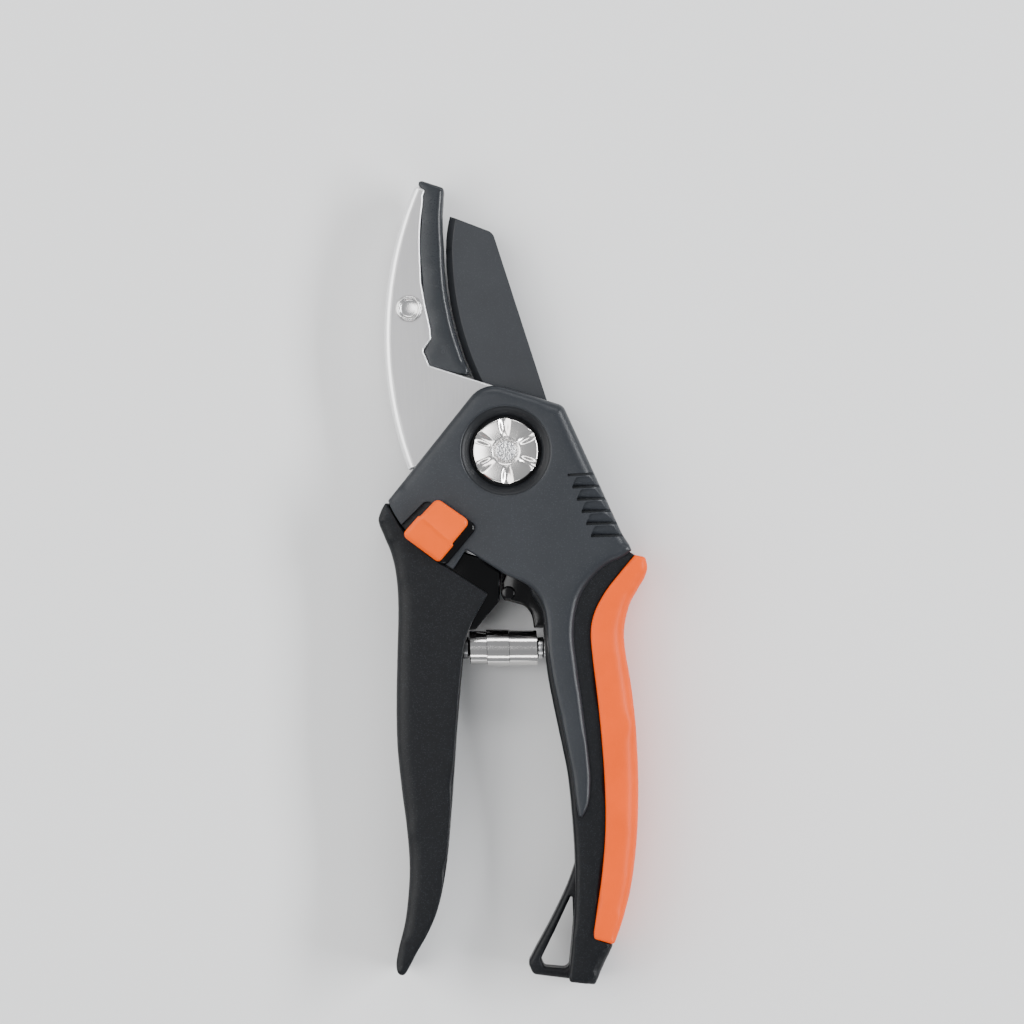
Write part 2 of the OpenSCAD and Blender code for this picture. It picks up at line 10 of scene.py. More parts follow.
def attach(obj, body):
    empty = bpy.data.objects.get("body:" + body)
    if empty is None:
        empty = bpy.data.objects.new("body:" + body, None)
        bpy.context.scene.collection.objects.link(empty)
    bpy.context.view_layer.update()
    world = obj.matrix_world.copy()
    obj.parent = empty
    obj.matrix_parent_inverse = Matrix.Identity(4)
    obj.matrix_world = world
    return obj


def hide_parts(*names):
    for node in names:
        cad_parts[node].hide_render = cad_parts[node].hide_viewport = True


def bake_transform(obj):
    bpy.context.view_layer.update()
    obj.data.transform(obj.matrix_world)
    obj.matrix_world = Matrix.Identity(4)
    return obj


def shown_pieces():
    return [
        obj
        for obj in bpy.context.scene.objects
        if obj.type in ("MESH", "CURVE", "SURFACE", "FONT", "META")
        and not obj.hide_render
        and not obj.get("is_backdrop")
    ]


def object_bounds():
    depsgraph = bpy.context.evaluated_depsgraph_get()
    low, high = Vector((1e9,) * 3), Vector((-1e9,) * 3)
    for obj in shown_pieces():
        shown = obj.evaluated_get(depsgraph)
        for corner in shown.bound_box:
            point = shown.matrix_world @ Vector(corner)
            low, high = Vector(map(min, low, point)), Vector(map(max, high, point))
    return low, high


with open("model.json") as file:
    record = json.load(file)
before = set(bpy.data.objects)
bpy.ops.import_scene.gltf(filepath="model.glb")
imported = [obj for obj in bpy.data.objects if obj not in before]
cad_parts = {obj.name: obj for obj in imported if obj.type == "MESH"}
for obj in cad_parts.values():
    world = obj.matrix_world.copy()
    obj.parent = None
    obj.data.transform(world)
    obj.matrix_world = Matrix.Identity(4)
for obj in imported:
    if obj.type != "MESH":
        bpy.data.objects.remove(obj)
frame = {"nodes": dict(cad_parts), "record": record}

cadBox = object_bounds()
mm = 0.001

# in millimetres: the middle plane over the table, then heights over it, the same in front and behind
heights = {"middle": 8.5, "loop": 3.0, "anvil": 3.45, "neck": 3.9, "lip": 4.35, "boss": 5.25, "field": 7.2,
           "grip": 8.0, "plate": 8.5, "slide": 8.6, "cap": 10.1, "capTop": 12.85}
print("frame loaded")


def polar(r, angle, centre=(0, 0)):
    # the point at radius r and this angle, in degrees
    a = np.radians(angle)
    return np.stack([centre[0] + r * np.cos(a), centre[1] + r * np.sin(a)], axis=-1)


def arcPoints(centre, r, start, end, n=16):
    # n even steps along an arc
    return polar(r, np.linspace(start, end, n + 1), centre)


def smoothCurve(points, n=8):
    # Catmull-Rom: each stretch is a cubic that passes through its two points with their neighbours' slope
    p = np.asarray(points, float)
    q = np.vstack([p[:1], p, p[-1:]])
    t = np.linspace(0, 1, n, endpoint=False)[None, :, None]
    a, b, c, d = (q[i:len(q) - 3 + i, None, :] for i in range(4))
    s = b + 0.5 * t * ((c - a) + t * ((2 * a - 5 * b + 4 * c - d) + t * (3 * b - a - 3 * c + d)))
    return np.vstack([s.reshape(-1, 2), p[-1:]])


def roundedCorner(p, q, s, r, n=8):
    # an arc of radius r that touches both sides of the corner q
    p, q, s = (np.asarray(v, float) for v in (p, q, s))
    a, b = (p - q) / np.linalg.norm(p - q), (s - q) / np.linalg.norm(s - q)
    half = math.acos(float(np.clip(a @ b, -1, 1))) / 2
    c = q + (a + b) / np.linalg.norm(a + b) * r / math.sin(half)
    start, end = q + a * r / math.tan(half) - c, q + b * r / math.tan(half) - c
    a0 = math.atan2(start[1], start[0])
    turn = (math.atan2(end[1], end[0]) - a0 + math.pi) % (2 * math.pi) - math.pi
    angles = a0 + turn * np.linspace(0, 1, n + 1)
    return c + r * np.stack([np.cos(angles), np.sin(angles)], axis=-1)


def roundedOutline(corners):
    # corners are (x, y, radius)
    out = []
    for i, (x, y, r) in enumerate(corners):
        before, after = corners[i - 1], corners[(i + 1) % len(corners)]
        out.append(roundedCorner(before[:2], (x, y), after[:2], r) if r > 0 else [[x, y]])
    return np.vstack(out)


def evenly(points, step):
    # the closed outline again, with its points one step apart
    p = np.vstack([points, points[:1]])
    run = np.concatenate([[0], np.cumsum(np.linalg.norm(np.diff(p, axis=0), axis=1))])
    at = np.linspace(0, run[-1], max(12, int(round(run[-1] / step))), endpoint=False)
    return np.stack([np.interp(at, run, p[:, 0]), np.interp(at, run, p[:, 1])], axis=-1)


def inwardNormals(p):
    # the chord past each point, turned to the left, points inwards on an outline that runs anticlockwise
    t = np.roll(p, -1, axis=0) - np.roll(p, 1, axis=0)
    t /= np.linalg.norm(t, axis=1)[:, None] + 1e-12
    return np.stack([-t[:, 1], t[:, 0]], axis=-1)


def isInside(points, loops):
    # even-odd rule, over all loops at once
    inside = np.zeros(len(points), bool)
    x, y = points[:, 0, None], points[:, 1, None]
    for loop in loops:
        a, b = loop, np.roll(loop, -1, axis=0)
        crosses = (a[None, :, 1] > y) != (b[None, :, 1] > y)
        slope = (b[:, 0] - a[:, 0]) / np.where(b[:, 1] == a[:, 1], 1e-12, b[:, 1] - a[:, 1])
        left = x < a[None, :, 0] + (y - a[None, :, 1]) * slope[None]
        inside ^= np.sum(crosses & left, axis=1) % 2 == 1
    return inside


def nearest(points, loop):
    # distance from each point to the loop's nearest point
    return np.sqrt(np.min(np.sum((points[:, None] - loop[None]) ** 2, axis=2), axis=1))


def roomInwards(p, normals, reach, loops):
    # how far each point may move inwards before another part of the outline is nearer than where it came from
    room = np.full(len(p), 0.0)
    going = np.ones(len(p), bool)
    every = np.vstack(loops)
    for d in np.linspace(0.1, 1, 10) * np.max(reach):
        going &= nearest(p + normals * d, every) > d * 0.93 - 0.02
        room = np.where(going, d, room)
    return np.minimum(room, reach)


def newObject(name, data):
    obj = bpy.data.objects.new(name, data)
    bpy.context.scene.collection.objects.link(obj)
    return obj


def addPiece(name, points, faces, material, body, replaced=(), slot=None, sharp=32, weld=1e-6):
    # points are in millimetres, and none may leave the exact model's box
    points = np.clip(np.asarray(points), np.array(cadBox[0]) / mm, np.array(cadBox[1]) / mm)
    mesh = bpy.data.meshes.new(name)
    mesh.from_pydata((points * mm).tolist(), [], [tuple(f) for f in faces])
    b = bmesh.new()
    b.from_mesh(mesh)
    bmesh.ops.remove_doubles(b, verts=b.verts, dist=weld)
    bmesh.ops.dissolve_degenerate(b, dist=weld, edges=b.edges)
    bmesh.ops.recalc_face_normals(b, faces=b.faces)
    b.to_mesh(mesh)
    b.free()
    return finishPiece(newObject(name, mesh), material, body, replaced, sharp)


def finishPiece(obj, material, body, replaced=(), sharp=32):
    # the material, the shading, the body it rides on and the exact parts it replaces
    mesh = obj.data
    mesh.materials.clear()
    mesh.materials.append(material)
    mesh.shade_smooth()
    mesh.set_sharp_from_angle(angle=math.radians(sharp))
    if body:
        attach(obj, body)
    if replaced:
        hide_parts(*replaced)
    return obj


def gridFaces(rows, columns, closeRows=False, closeColumns=True, first=0):
    # quads between neighbouring rows of a grid of points
    r = np.arange(rows if closeRows else rows - 1)
    c = np.arange(columns if closeColumns else columns - 1)
    i, j = np.meshgrid(r, c, indexing="ij")
    k, l = (i + 1) % rows, (j + 1) % columns
    quads = np.stack([i * columns + j, i * columns + l, k * columns + l, k * columns + j], axis=-1)
    return (quads.reshape(-1, 4) + first).tolist()


def fillLoops(loops, spacing=None, gap=0.5):
    # Delaunay triangles inside the outer loop and outside the holes, with a grid of points between them
    points = np.vstack(loops)
    edges, at = [], 0
    for loop in loops:
        k = np.arange(len(loop))
        edges += np.stack([at + k, at + (k + 1) % len(loop)], axis=-1).tolist()
        at += len(loop)
    if spacing:
        low, high = loops[0].min(axis=0), loops[0].max(axis=0)
        gx, gy = np.meshgrid(np.arange(low[0], high[0], spacing), np.arange(low[1], high[1], spacing))
        gx[::2] += spacing / 2
        grid = np.stack([gx.ravel(), gy.ravel()], axis=-1)
        grid = grid[isInside(grid, loops)]
        grid = grid[nearest(grid, points) > spacing * gap]
        points = np.vstack([points, grid])
    found, _, tris, _, _, _ = delaunay_2d_cdt([tuple(p) for p in points.tolist()], edges, [], 0, 1e-5)
    found = np.array([tuple(v) for v in found])
    tris = np.array([t for t in tris if len(t) == 3])
    tris = tris[isInside(found[tris].mean(axis=1), loops)]
    return found, tris


def quarterFall(drop, share):
    # how far a quarter ellipse has fallen, at a share of its width from the edge
    return drop * (1 - np.sqrt(np.clip(1 - (1 - share) ** 2, 0, 1)))


def slabShell(outline, rim, drop, top, bottom=0.0, holes=(), spacing=None, step=0.4, rounds=6, relief=None,
              baseRim=0.12):
    # A slab whose top edge is a quarter ellipse: rim wide and drop deep. Every ring is the outline moved
    # inwards by rim * (1 - cos a), and fallen by drop * (1 - sin a). relief adds to the height of the top.
    loops, rims, drops = [evenly(outline, step)], [rim], [drop]
    for hole, holeRim, holeDrop in holes:
        loops.append(evenly(hole[::-1], step))
        rims.append(holeRim)
        drops.append(holeDrop)
    rims, drops = ([v(loops[i]) if callable(v) else np.full(len(loops[i]), float(v))
                    for i, v in enumerate(values)] for values in (rims, drops))
    points, faces, inner, base, count = [], [], [], [], 0
    for loop, r, d in zip(loops, rims, drops):
        normals = inwardNormals(loop)
        room = roomInwards(loop, normals, r, loops)
        rings = [(loop + normals * baseRim, np.full(len(loop), bottom)),
                 (loop, np.full(len(loop), bottom + baseRim))]
        for a in np.radians(np.linspace(0, 90, rounds + 1)):
            share = np.minimum(r * (1 - math.cos(a)), room) / np.maximum(r, 1e-9)
            fall = quarterFall(d, share)
            flat = loop + normals * (share * r)[:, None]
            lift = relief(flat) if relief else 0
            rings.append((flat, top - fall + lift))
        for flat, z in rings:
            points.append(np.column_stack([flat, z]))
        faces += gridFaces(len(rings), len(loop), first=count)
        count += len(rings) * len(loop)
        inner.append(rings[-1][0])
        base.append(rings[0][0])
    found, tris = fillLoops(inner, spacing)
    lift = relief(found) if relief else 0
    edgeFall = np.zeros(len(found))
    for loop, r, d, flat in zip(loops, rims, drops, inner):
        gap = np.sum((found[:, None] - flat[None]) ** 2, axis=2)
        near = np.argmin(gap, axis=1)
        share = np.linalg.norm(flat - loop, axis=1) / np.maximum(r, 1e-9)
        fall = quarterFall(d, np.clip(share, 0, 1))
        edgeFall = np.where(np.min(gap, axis=1) < 0.01, fall[near], edgeFall)
    points.append(np.column_stack([found, top - edgeFall + lift]))
    faces += (tris + count).tolist()
    count += len(found)
    found, tris = fillLoops(base)
    points.append(np.column_stack([found, np.full(len(found), bottom)]))
    faces += (tris[:, ::-1] + count).tolist()
    points = np.vstack(points)
    points[:, 2] += heights["middle"]
    return points, faces


def mirrored(shape):
    # the same shape behind the middle plane
    points, faces = shape
    points = points.copy()
    points[:, 2] = 2 * heights["middle"] - points[:, 2]
    return points, [f[::-1] for f in faces]


def joined(*shapes):
    # several shapes as one list of points and faces
    points, faces, at = [], [], 0
    for p, f in shapes:
        points.append(p)
        faces += [[i + at for i in face] for face in f]
        at += len(p)
    return np.vstack(points), faces


def lathe(profile, centre=(0, 0), n=96):
    # a closed section of (radius, height over the middle plane) points, carried round an upright axis
    k = np.asarray(profile, float)
    a = np.radians(np.arange(n) * 360 / n)
    x = centre[0] + np.outer(k[:, 0], np.cos(a))
    y = centre[1] + np.outer(k[:, 0], np.sin(a))
    z = heights["middle"] + np.repeat(k[:, 1:], n, axis=1)
    return np.stack([x, y, z], axis=-1).reshape(-1, 3), gridFaces(len(k), n, closeRows=True)


def prism(outline, low, high):
    # an outline carried up from one height to another
    n = len(outline)
    points = np.vstack([np.column_stack([outline, np.full(n, h)]) for h in (low, high)])
    return points, [list(range(n))[::-1], list(range(n, 2 * n))] + gridFaces(2, n)


def cutAway(obj, shapes):
    # takes the shapes away from obj, and keeps the result as its mesh
    points, faces = joined(*shapes)
    mesh = bpy.data.meshes.new("cutter")
    mesh.from_pydata((points * mm).tolist(), [], faces)
    b = bmesh.new()
    b.from_mesh(mesh)
    bmesh.ops.recalc_face_normals(b, faces=b.faces)
    b.to_mesh(mesh)
    b.free()
    cutter = newObject("cutter", mesh)
    cut = obj.modifiers.new("cut", "BOOLEAN")
    cut.operation, cut.object, cut.solver, cut.use_self = "DIFFERENCE", cutter, "EXACT", True
    bpy.context.view_layer.update()
    result = bpy.data.meshes.new_from_object(obj.evaluated_get(bpy.context.evaluated_depsgraph_get()))
    obj.modifiers.remove(cut)
    obj.data = result
    bpy.data.objects.remove(cutter)


def softened(node, width, material, dissolve=2.0, sharp=32, segments=3, clamp=True):
    # a merged copy of an exact part, with every sharp edge broken by a small round
    source = frame["nodes"][node]
    body = next(b for b, nodes in bodyNodes.items() if node in nodes)
    mesh = source.data.copy()
    mesh.name = node + "Soft"
    b = bmesh.new()
    b.from_mesh(mesh)
    b.transform(source.matrix_world)
    bmesh.ops.remove_doubles(b, verts=b.verts, dist=2e-6)
    bmesh.ops.dissolve_limit(b, angle_limit=math.radians(dissolve), verts=b.verts, edges=b.edges)
    limit = math.radians(sharp)
    edges = [e for e in b.edges if len(e.link_faces) == 2 and e.calc_face_angle(0) > limit]
    bmesh.ops.bevel(b, geom=edges, offset=width * mm, offset_type="OFFSET", segments=segments, profile=0.5,
                    affect="EDGES", clamp_overlap=clamp)
    b.to_mesh(mesh)
    b.free()
    obj = finishPiece(newObject(node + "Soft", mesh), material, body, (node,), 50)
    weighted = obj.modifiers.new("even shading", "WEIGHTED_NORMAL")
    weighted.keep_sharp = True
    return obj


bodyNodes = frame["record"]["behaviour"]["bodies"]
print("helpers ready")


def newGroup(name, inputs, outputs):
    group = bpy.data.node_groups.new(name, "ShaderNodeTree")
    for socketName, value in inputs.items():
        socket = group.interface.new_socket(socketName, in_out="INPUT", socket_type="NodeSocketFloat")
        socket.default_value = value
    for socketName in outputs:
        group.interface.new_socket(socketName, in_out="OUTPUT", socket_type="NodeSocketFloat")
    return group, group.nodes.new("NodeGroupInput").outputs, group.nodes.new("NodeGroupOutput").inputs


def addNode(tree, kind, values=None, **settings):
    node = tree.nodes.new(kind)
    for key, value in settings.items():
        setattr(node, key, value)
    for key, value in (values or {}).items():
        if isinstance(value, bpy.types.NodeSocket):
            tree.links.new(value, node.inputs[key])
        else:
            node.inputs[key].default_value = value
    return node


def addMath(tree, operation, a, b=0.0, c=0.0):
    return addNode(tree, "ShaderNodeMath", {0: a, 1: b, 2: c}, operation=operation).outputs[0]


def addNoise(tree, where, scale, detail, roughness=0.5):
    values = {"Vector": where, "Scale": scale, "Detail": detail, "Roughness": roughness}
    return addNode(tree, "ShaderNodeTexNoise", values).outputs["Fac"]


def makeGrainGroup():
    # fine moulded grain: noise at the grain's own size, with a slower one that makes it uneven, and specks
    g, inputs, outputs = newGroup("mouldedGrain", {"Size mm": 0.3, "Uneven": 0.4, "Speck": 0.5},
                                  ("Height", "Specks", "Cloud"))
    where = addNode(g, "ShaderNodeTexCoord").outputs["Object"]
    scale = addMath(g, "DIVIDE", 1000.0, inputs["Size mm"])
    fine = addNoise(g, where, scale, 2.0, 0.6)
    slow = addNoise(g, where, 90.0, 3.0, 0.55)
    coarser = addMath(g, "MULTIPLY", scale, 0.62)
    cells = addNode(g, "ShaderNodeTexVoronoi", {"Vector": where, "Scale": coarser}).outputs
    centred = addMath(g, "SUBTRACT", slow, 0.5)
    g.links.new(addMath(g, "MULTIPLY_ADD", centred, inputs["Uneven"], fine), outputs["Height"])
    near = addNode(g, "ShaderNodeMapRange",
                   {"Value": cells["Distance"], "From Min": 0.42, "From Max": 0.12}).outputs[0]
    tone = addNode(g, "ShaderNodeSeparateColor", {"Color": cells["Color"]}).outputs[0]
    chosen = addMath(g, "GREATER_THAN", tone, 0.55)
    g.links.new(addMath(g, "MULTIPLY", addMath(g, "MULTIPLY", near, chosen), inputs["Speck"]),
                outputs["Specks"])
    g.links.new(slow, outputs["Cloud"])
    return g


def makeBrushGroup():
    # fine lines along Y: noise squeezed across X and Z
    g, inputs, outputs = newGroup("brushedLines", {"Size mm": 0.12, "Stretch": 0.02}, ("Lines",))
    where = addNode(g, "ShaderNodeTexCoord").outputs["Object"]
    parts = addNode(g, "ShaderNodeSeparateXYZ", {"Vector": where}).outputs
    along = addMath(g, "MULTIPLY", parts["Y"], inputs["Stretch"])
    squeezed = addNode(g, "ShaderNodeCombineXYZ", {"X": parts["X"], "Y": along, "Z": parts["Z"]}).outputs[0]
    scale = addMath(g, "DIVIDE", 1000.0, inputs["Size mm"])
    g.links.new(addNoise(g, squeezed, scale, 3.0, 0.65), outputs["Lines"])
    return g


def makeWearGroup():
    # handling marks: thin scratches where a stretched noise passes its middle value, and soft smudges
    g, inputs, outputs = newGroup("handlingMarks", {"Scratches": 0.4, "Smudges": 0.5}, ("Scratch", "Smudge"))
    where = addNode(g, "ShaderNodeTexCoord").outputs["Object"]
    turned = addNode(g, "ShaderNodeMapping",
                     {"Vector": where, "Rotation": (0.2, 0.3, 0.9), "Scale": (1.0, 0.05, 1.0)}).outputs[0]
    offset = addMath(g, "ABSOLUTE", addMath(g, "SUBTRACT", addNoise(g, turned, 700.0, 2.0), 0.63))
    line = addNode(g, "ShaderNodeMapRange", {"Value": offset, "From Min": 0.008, "From Max": 0.0}).outputs[0]
    g.links.new(addMath(g, "MULTIPLY", line, inputs["Scratches"]), outputs["Scratch"])
    smudge = addNoise(g, where, 55.0, 4.0, 0.6)
    g.links.new(addMath(g, "MULTIPLY", smudge, inputs["Smudges"]), outputs["Smudge"])
    return g


grainGroup, brushGroup, wearGroup = makeGrainGroup(), makeBrushGroup(), makeWearGroup()


def newMaterial(name, color, roughness, metallic=0.0, specular=0.5):
    m = bpy.data.materials.new(name)
    m.use_nodes = True
    tree = m.node_tree
    shader = tree.nodes["Principled BSDF"]
    values = {"Base Color": (*color, 1), "Roughness": roughness, "Metallic": metallic,
              "Specular IOR Level": specular}
    for key, value in values.items():
        shader.inputs[key].default_value = value
    return m, tree, shader


def mixColors(tree, factor, a, b):
    node = tree.nodes.new("ShaderNodeMix")
    node.data_type = "RGBA"
    for key, value in ((0, factor), (6, a), (7, b)):
        if isinstance(value, bpy.types.NodeSocket):
            tree.links.new(value, node.inputs[key])
        else:
            node.inputs[key].default_value = value if key == 0 else (*value, 1)
    return node.outputs[2]


def addGroup(tree, group, values):
    return addNode(tree, "ShaderNodeGroup", values, node_tree=group).outputs


def addRoughness(tree, shader, first, firstShare, second, secondShare, roughness):
    # the roughness, raised by a share of each of two patterns
    rough = addMath(tree, "MULTIPLY_ADD", first, firstShare, roughness)
    tree.links.new(addMath(tree, "MULTIPLY_ADD", second, secondShare, rough), shader.inputs["Roughness"])


def addBump(tree, shader, height, strength, distance=0.0001):
    raised = addNode(tree, "ShaderNodeBump", {"Height": height, "Strength": strength, "Distance": distance})
    tree.links.new(raised.outputs[0], shader.inputs["Normal"])


def mouldedPlastic(name, color, speckColor, roughness, grain, bump, specks, specular, cloud=0.15):
    m, tree, shader = newMaterial(name, color, roughness, specular=specular)
    g = addGroup(tree, grainGroup, {"Size mm": grain, "Speck": specks})
    wear = addGroup(tree, wearGroup, {"Scratches": 0.15})
    darker, lighter = (tuple(c * (1 + share) for c in color) for share in (-cloud, cloud))
    tone = mixColors(tree, g["Cloud"], darker, lighter)
    tree.links.new(mixColors(tree, g["Specks"], tone, speckColor), shader.inputs["Base Color"])
    addRoughness(tree, shader, wear["Smudge"], 0.12, g["Specks"], -0.12, roughness - 0.03)
    addBump(tree, shader, g["Height"], bump)
    return m


def brushedSteel(name, color, roughness, size, bump, contrast=0.12):
    m, tree, shader = newMaterial(name, color, roughness, metallic=1.0)
    g = addGroup(tree, brushGroup, {"Size mm": size})
    wear = addGroup(tree, wearGroup, {"Scratches": 0.3})
    low, high = (tuple(min(1.0, c * share) for c in color) for share in (1 - contrast, 1 + contrast))
    tone = mixColors(tree, g["Lines"], low, high)
    tree.links.new(mixColors(tree, wear["Scratch"], tone, high), shader.inputs["Base Color"])
    addRoughness(tree, shader, g["Lines"], 0.14, wear["Smudge"], 0.08, roughness - 0.07)
    addBump(tree, shader, g["Lines"], bump, 0.00005)
    return m


def polishedMetal(name, color, roughness, ripple=0.1, waves=420.0):
    m, tree, shader = newMaterial(name, color, roughness, metallic=1.0)
    wear = addGroup(tree, wearGroup, {"Scratches": 0.35})
    dull = tuple(c * 0.94 for c in color)
    tree.links.new(mixColors(tree, wear["Smudge"], dull, color), shader.inputs["Base Color"])
    addRoughness(tree, shader, wear["Smudge"], 0.1, wear["Scratch"], 0.2, roughness - 0.02)
    where = addNode(tree, "ShaderNodeTexCoord").outputs["Object"]
    addBump(tree, shader, addNoise(tree, where, waves, 1.0), ripple)
    return m


finishes = {
    "plate": ((0.022, 0.0245, 0.029), (0.055, 0.06, 0.068), 0.34, 0.22, 0.30, 0.35, 0.30),
    "ring": ((0.010, 0.011, 0.013), (0.03, 0.033, 0.037), 0.42, 0.25, 0.12, 0.2, 0.25),
    # ring: the plate's plastic in a darker colour. This is painted shade for the dished ring round the nut and
    # for the nut washer in that recess.
    "lever": ((0.0050, 0.0056, 0.0070), (0.040, 0.045, 0.055), 0.36, 0.19, 0.55, 0.4, 0.20),
    "gloss": ((0.002, 0.002, 0.0022), (0.004, 0.004, 0.004), 0.12, 0.6, 0.03, 0.1, 0.30),
    "grip": ((0.88, 0.09, 0.001), (1.0, 0.15, 0.006), 0.38, 0.35, 0.12, 0.12, 0.12),
    "cap": ((0.9, 0.105, 0.001), (1.0, 0.16, 0.006), 0.30, 0.5, 0.06, 0.08, 0.15),
    "anvil": ((0.020, 0.0225, 0.026), (0.05, 0.055, 0.06), 0.27, 0.25, 0.12, 0.3, 0.35),
    "blade": ((0.026, 0.028, 0.032), (0.06, 0.064, 0.07), 0.36, 0.2, 0.16, 0.3, 0.3),
    "rubber": ((0.008, 0.008, 0.008), (0.02, 0.02, 0.02), 0.6, 0.4, 0.2, 0.2, 0.2),
}
plastics = [mouldedPlastic(key, *values) for key, values in finishes.items()]
plateMaterial, shadedRingMaterial, leverMaterial, glossMaterial, gripMaterial = plastics[:5]
capMaterial, anvilMaterial, bladeMaterial, rubberMaterial = plastics[5:]
satinSteel = brushedSteel("satinSteel", (0.49, 0.485, 0.49), 0.36, 0.16, 0.14)
plainSteel = brushedSteel("plainSteel", (0.42, 0.42, 0.43), 0.36, 0.2, 0.12)
screwSteel = brushedSteel("screwSteel", (0.62, 0.62, 0.62), 0.26, 0.2, 0.08)
# a darkened steel for the left spring seat: painted shadow where it sits in shade beside the lever's inner
# wall
shadedSeatSteel = brushedSteel("shadedSeatSteel", (0.20, 0.20, 0.205), 0.3, 0.2, 0.08)
# a near-white copy of the frame's steel: a painted highlight for the spine fold and the cut edges
edgeHighlightSteel = brushedSteel("edgeHighlightSteel", (0.97, 0.97, 0.98), 0.36, 0.1, 0.05)
bronzeMetal = brushedSteel("bronzeMetal", (0.58, 0.41, 0.18), 0.35, 0.2, 0.08)
nickel = polishedMetal("nickel", (0.95, 0.92, 0.89), 0.17, 0.03)
rivetMetal = polishedMetal("rivetMetal", (0.80, 0.79, 0.78), 0.26, 0.03)
springChrome = polishedMetal("springChrome", (0.82, 0.80, 0.78), 0.13, 0.15)
hammered = polishedMetal("hammered", (0.94, 0.94, 0.95), 0.24, 1.8, 2200.0)
print("materials ready")


seam = {"r": 29.5, "gap": 0.4, "angle": 237.1, "start": 202.9, "channel": 23.7, "from": 4.6, "to": 15.2}
seamN = polar(1, seam["angle"])
seamT = np.array([-seamN[1], seamN[0]])
headR = seam["r"] - seam["gap"]

headSeam = np.vstack([polar(headR, np.linspace(seam["start"], seam["angle"], 40)),
                      headR * seamN + seam["from"] * seamT,
                      seam["channel"] * seamN + seam["from"] * seamT,
                      seam["channel"] * seamN + seam["to"] * seamT])
headTop = np.vstack([[[28.2, -21.4], [26.5, -18.8]], roundedCorner((26.5, -18.8), (13.1, 10.4), (-5.1, 16),
                                            2.5), roundedCorner((13.1, 10.4), (-5.1, 16),
                                            polar(headR, seam["start"]), 7),
                     roundedCorner((-5.1, 16), polar(headR, seam["start"]), polar(headR, seam["start"] + 8),
                                   0.35)])
plateLeft = smoothCurve([[3, -29.4], [5.9, -31.3], [8.2, -34.4], [9.2, -38.5], [9.6, -44.5], [10.5, -51],
                         [12.1, -58.5], [13.8, -66.5], [15.2, -74], [16.1, -80.5]])
plateRight = smoothCurve([[18.2, -82], [19.0, -79.4], [19.3, -74], [18.6, -67], [17.4, -57.5], [16.3, -49.5],
                          [15.5, -41.5], [16.3, -35], [18.6, -30.3], [22.4, -26.4], [26.6, -24.2],
                          [28.7, -22.6]])
plateOutline = np.vstack([headSeam, plateLeft, [[16.6, -83.2], [17.4, -83.3]], plateRight, headTop])

handleLeft = smoothCurve([[6, -33], [7.9, -36], [8.6, -39.5], [8.9, -44.5], [9.6, -51], [11, -58.5],
                          [12.7, -66.5], [14.2, -74], [15.1, -82], [15.7, -90], [15.9, -97], [15.7, -105],
                          [15.2, -112], [14.4, -119.9]])
gripEdge = smoothCurve([[20.1, -109.4], [20.9, -104], [22, -96], [22.7, -86.5], [22.6, -76.5], [21.9, -66],
                        [20.9, -56], [19.8, -47], [19.4, -41], [20.3, -36.6], [22.6, -32.2], [25.8, -28],
                        [29.4, -23.7]])
gripOuter = smoothCurve([
    [31.8, -24.2], [32.3, -26.6], [31.6, -29], [30.3, -31.2], [28.2, -35.3], [27.1, -40.5], [27.3, -45.5],
    [28.6, -53], [29.6, -61.5], [30.2, -71], [30.3, -81], [29.7, -91.5], [28.2, -101.5], [25.7, -110]])
fieldOutline = np.vstack([[[9, -20], [4, -27]], handleLeft,
                          roundedCorner((14.4, -119.9), (14.6, -121.0), (20.3, -121.7), 0.6),
                          roundedCorner((14.6, -121.0), (20.4, -121.7), (22.4, -117.2), 0.7),
                          [[22.4, -117.2]],
                          roundedCorner((22.4, -117.2), (24.6, -112.5), (21.4, -111.5), 0.5),
                          [[21.5, -111.5]], gripEdge, [[26, -21.5]]])
gripOutline = np.vstack([roundedCorner((21.2, -111.4), (24.7, -112.4), (25.7, -110), 0.8),
                         gripOuter[::-1][1:], gripEdge[::-1], roundedCorner((20.1, -109.4), (20.1, -111),
                                            (21.2, -111.4), 0.9)])
loopOuter = np.vstack([smoothCurve([[16.4, -92.5], [15.2, -96.5], [13.8, -100.2], [11.8, -104.5],
                                    [9.4, -109.2], [7.2, -113.2]]), roundedCorner((7.2, -113.2),
                                            (5.0, -117.4), (6.6, -119.6), 1.8),
                       roundedCorner((5.0, -117.6), (6.4, -119.8), (16.5, -121.2), 1.6),
                       [[16.8, -121.1], [17.2, -100]]])
loopHole = roundedOutline([(15.3, -101.0, 0.3), (11.4, -109.4, 5), (8.1, -116.2, 0.9), (8.9, -118.0, 0.9),
                           (14.4, -118.5, 1.5), (15.6, -111, 8)])

seamCorner = seam["r"] * seamN + 14.3 * seamT
leverEdge = smoothCurve([
    [-28.3, -13.4], [-28.95, -16], [-27.6, -19.6], [-26, -23.6], [-24.9, -28.8], [-24.5, -36], [-24.7, -46],
    [-24.9, -57], [-24.7, -67], [-23.7, -77], [-22.4, -87], [-21.9, -96], [-22.7, -106], [-24.4, -113.5],
    [-24.9, -116.8], [-24.5, -118.8], [-23.4, -119.3], [-22.4, -118.4], [-20.2, -114.2], [-17.4, -109.2],
    [-15.2, -103.5], [-13.7, -96], [-12.8, -87], [-12, -76], [-11.2, -64], [-10.2, -52], [-9.4, -44.5],
    [-7.6, -39], seamCorner - (0.3, 0.6)])
leverOutline = np.vstack([
    roundedCorner(polar(seam["r"], seam["start"] + 6), polar(seam["r"], seam["start"]), (-28.4, -13.6), 0.35),
    leverEdge,
    roundedCorner((-7.0, -38), seamCorner, seam["r"] * seamN, 0.5),
    polar(seam["r"], np.linspace(seam["angle"], seam["start"] + 2, 40))])
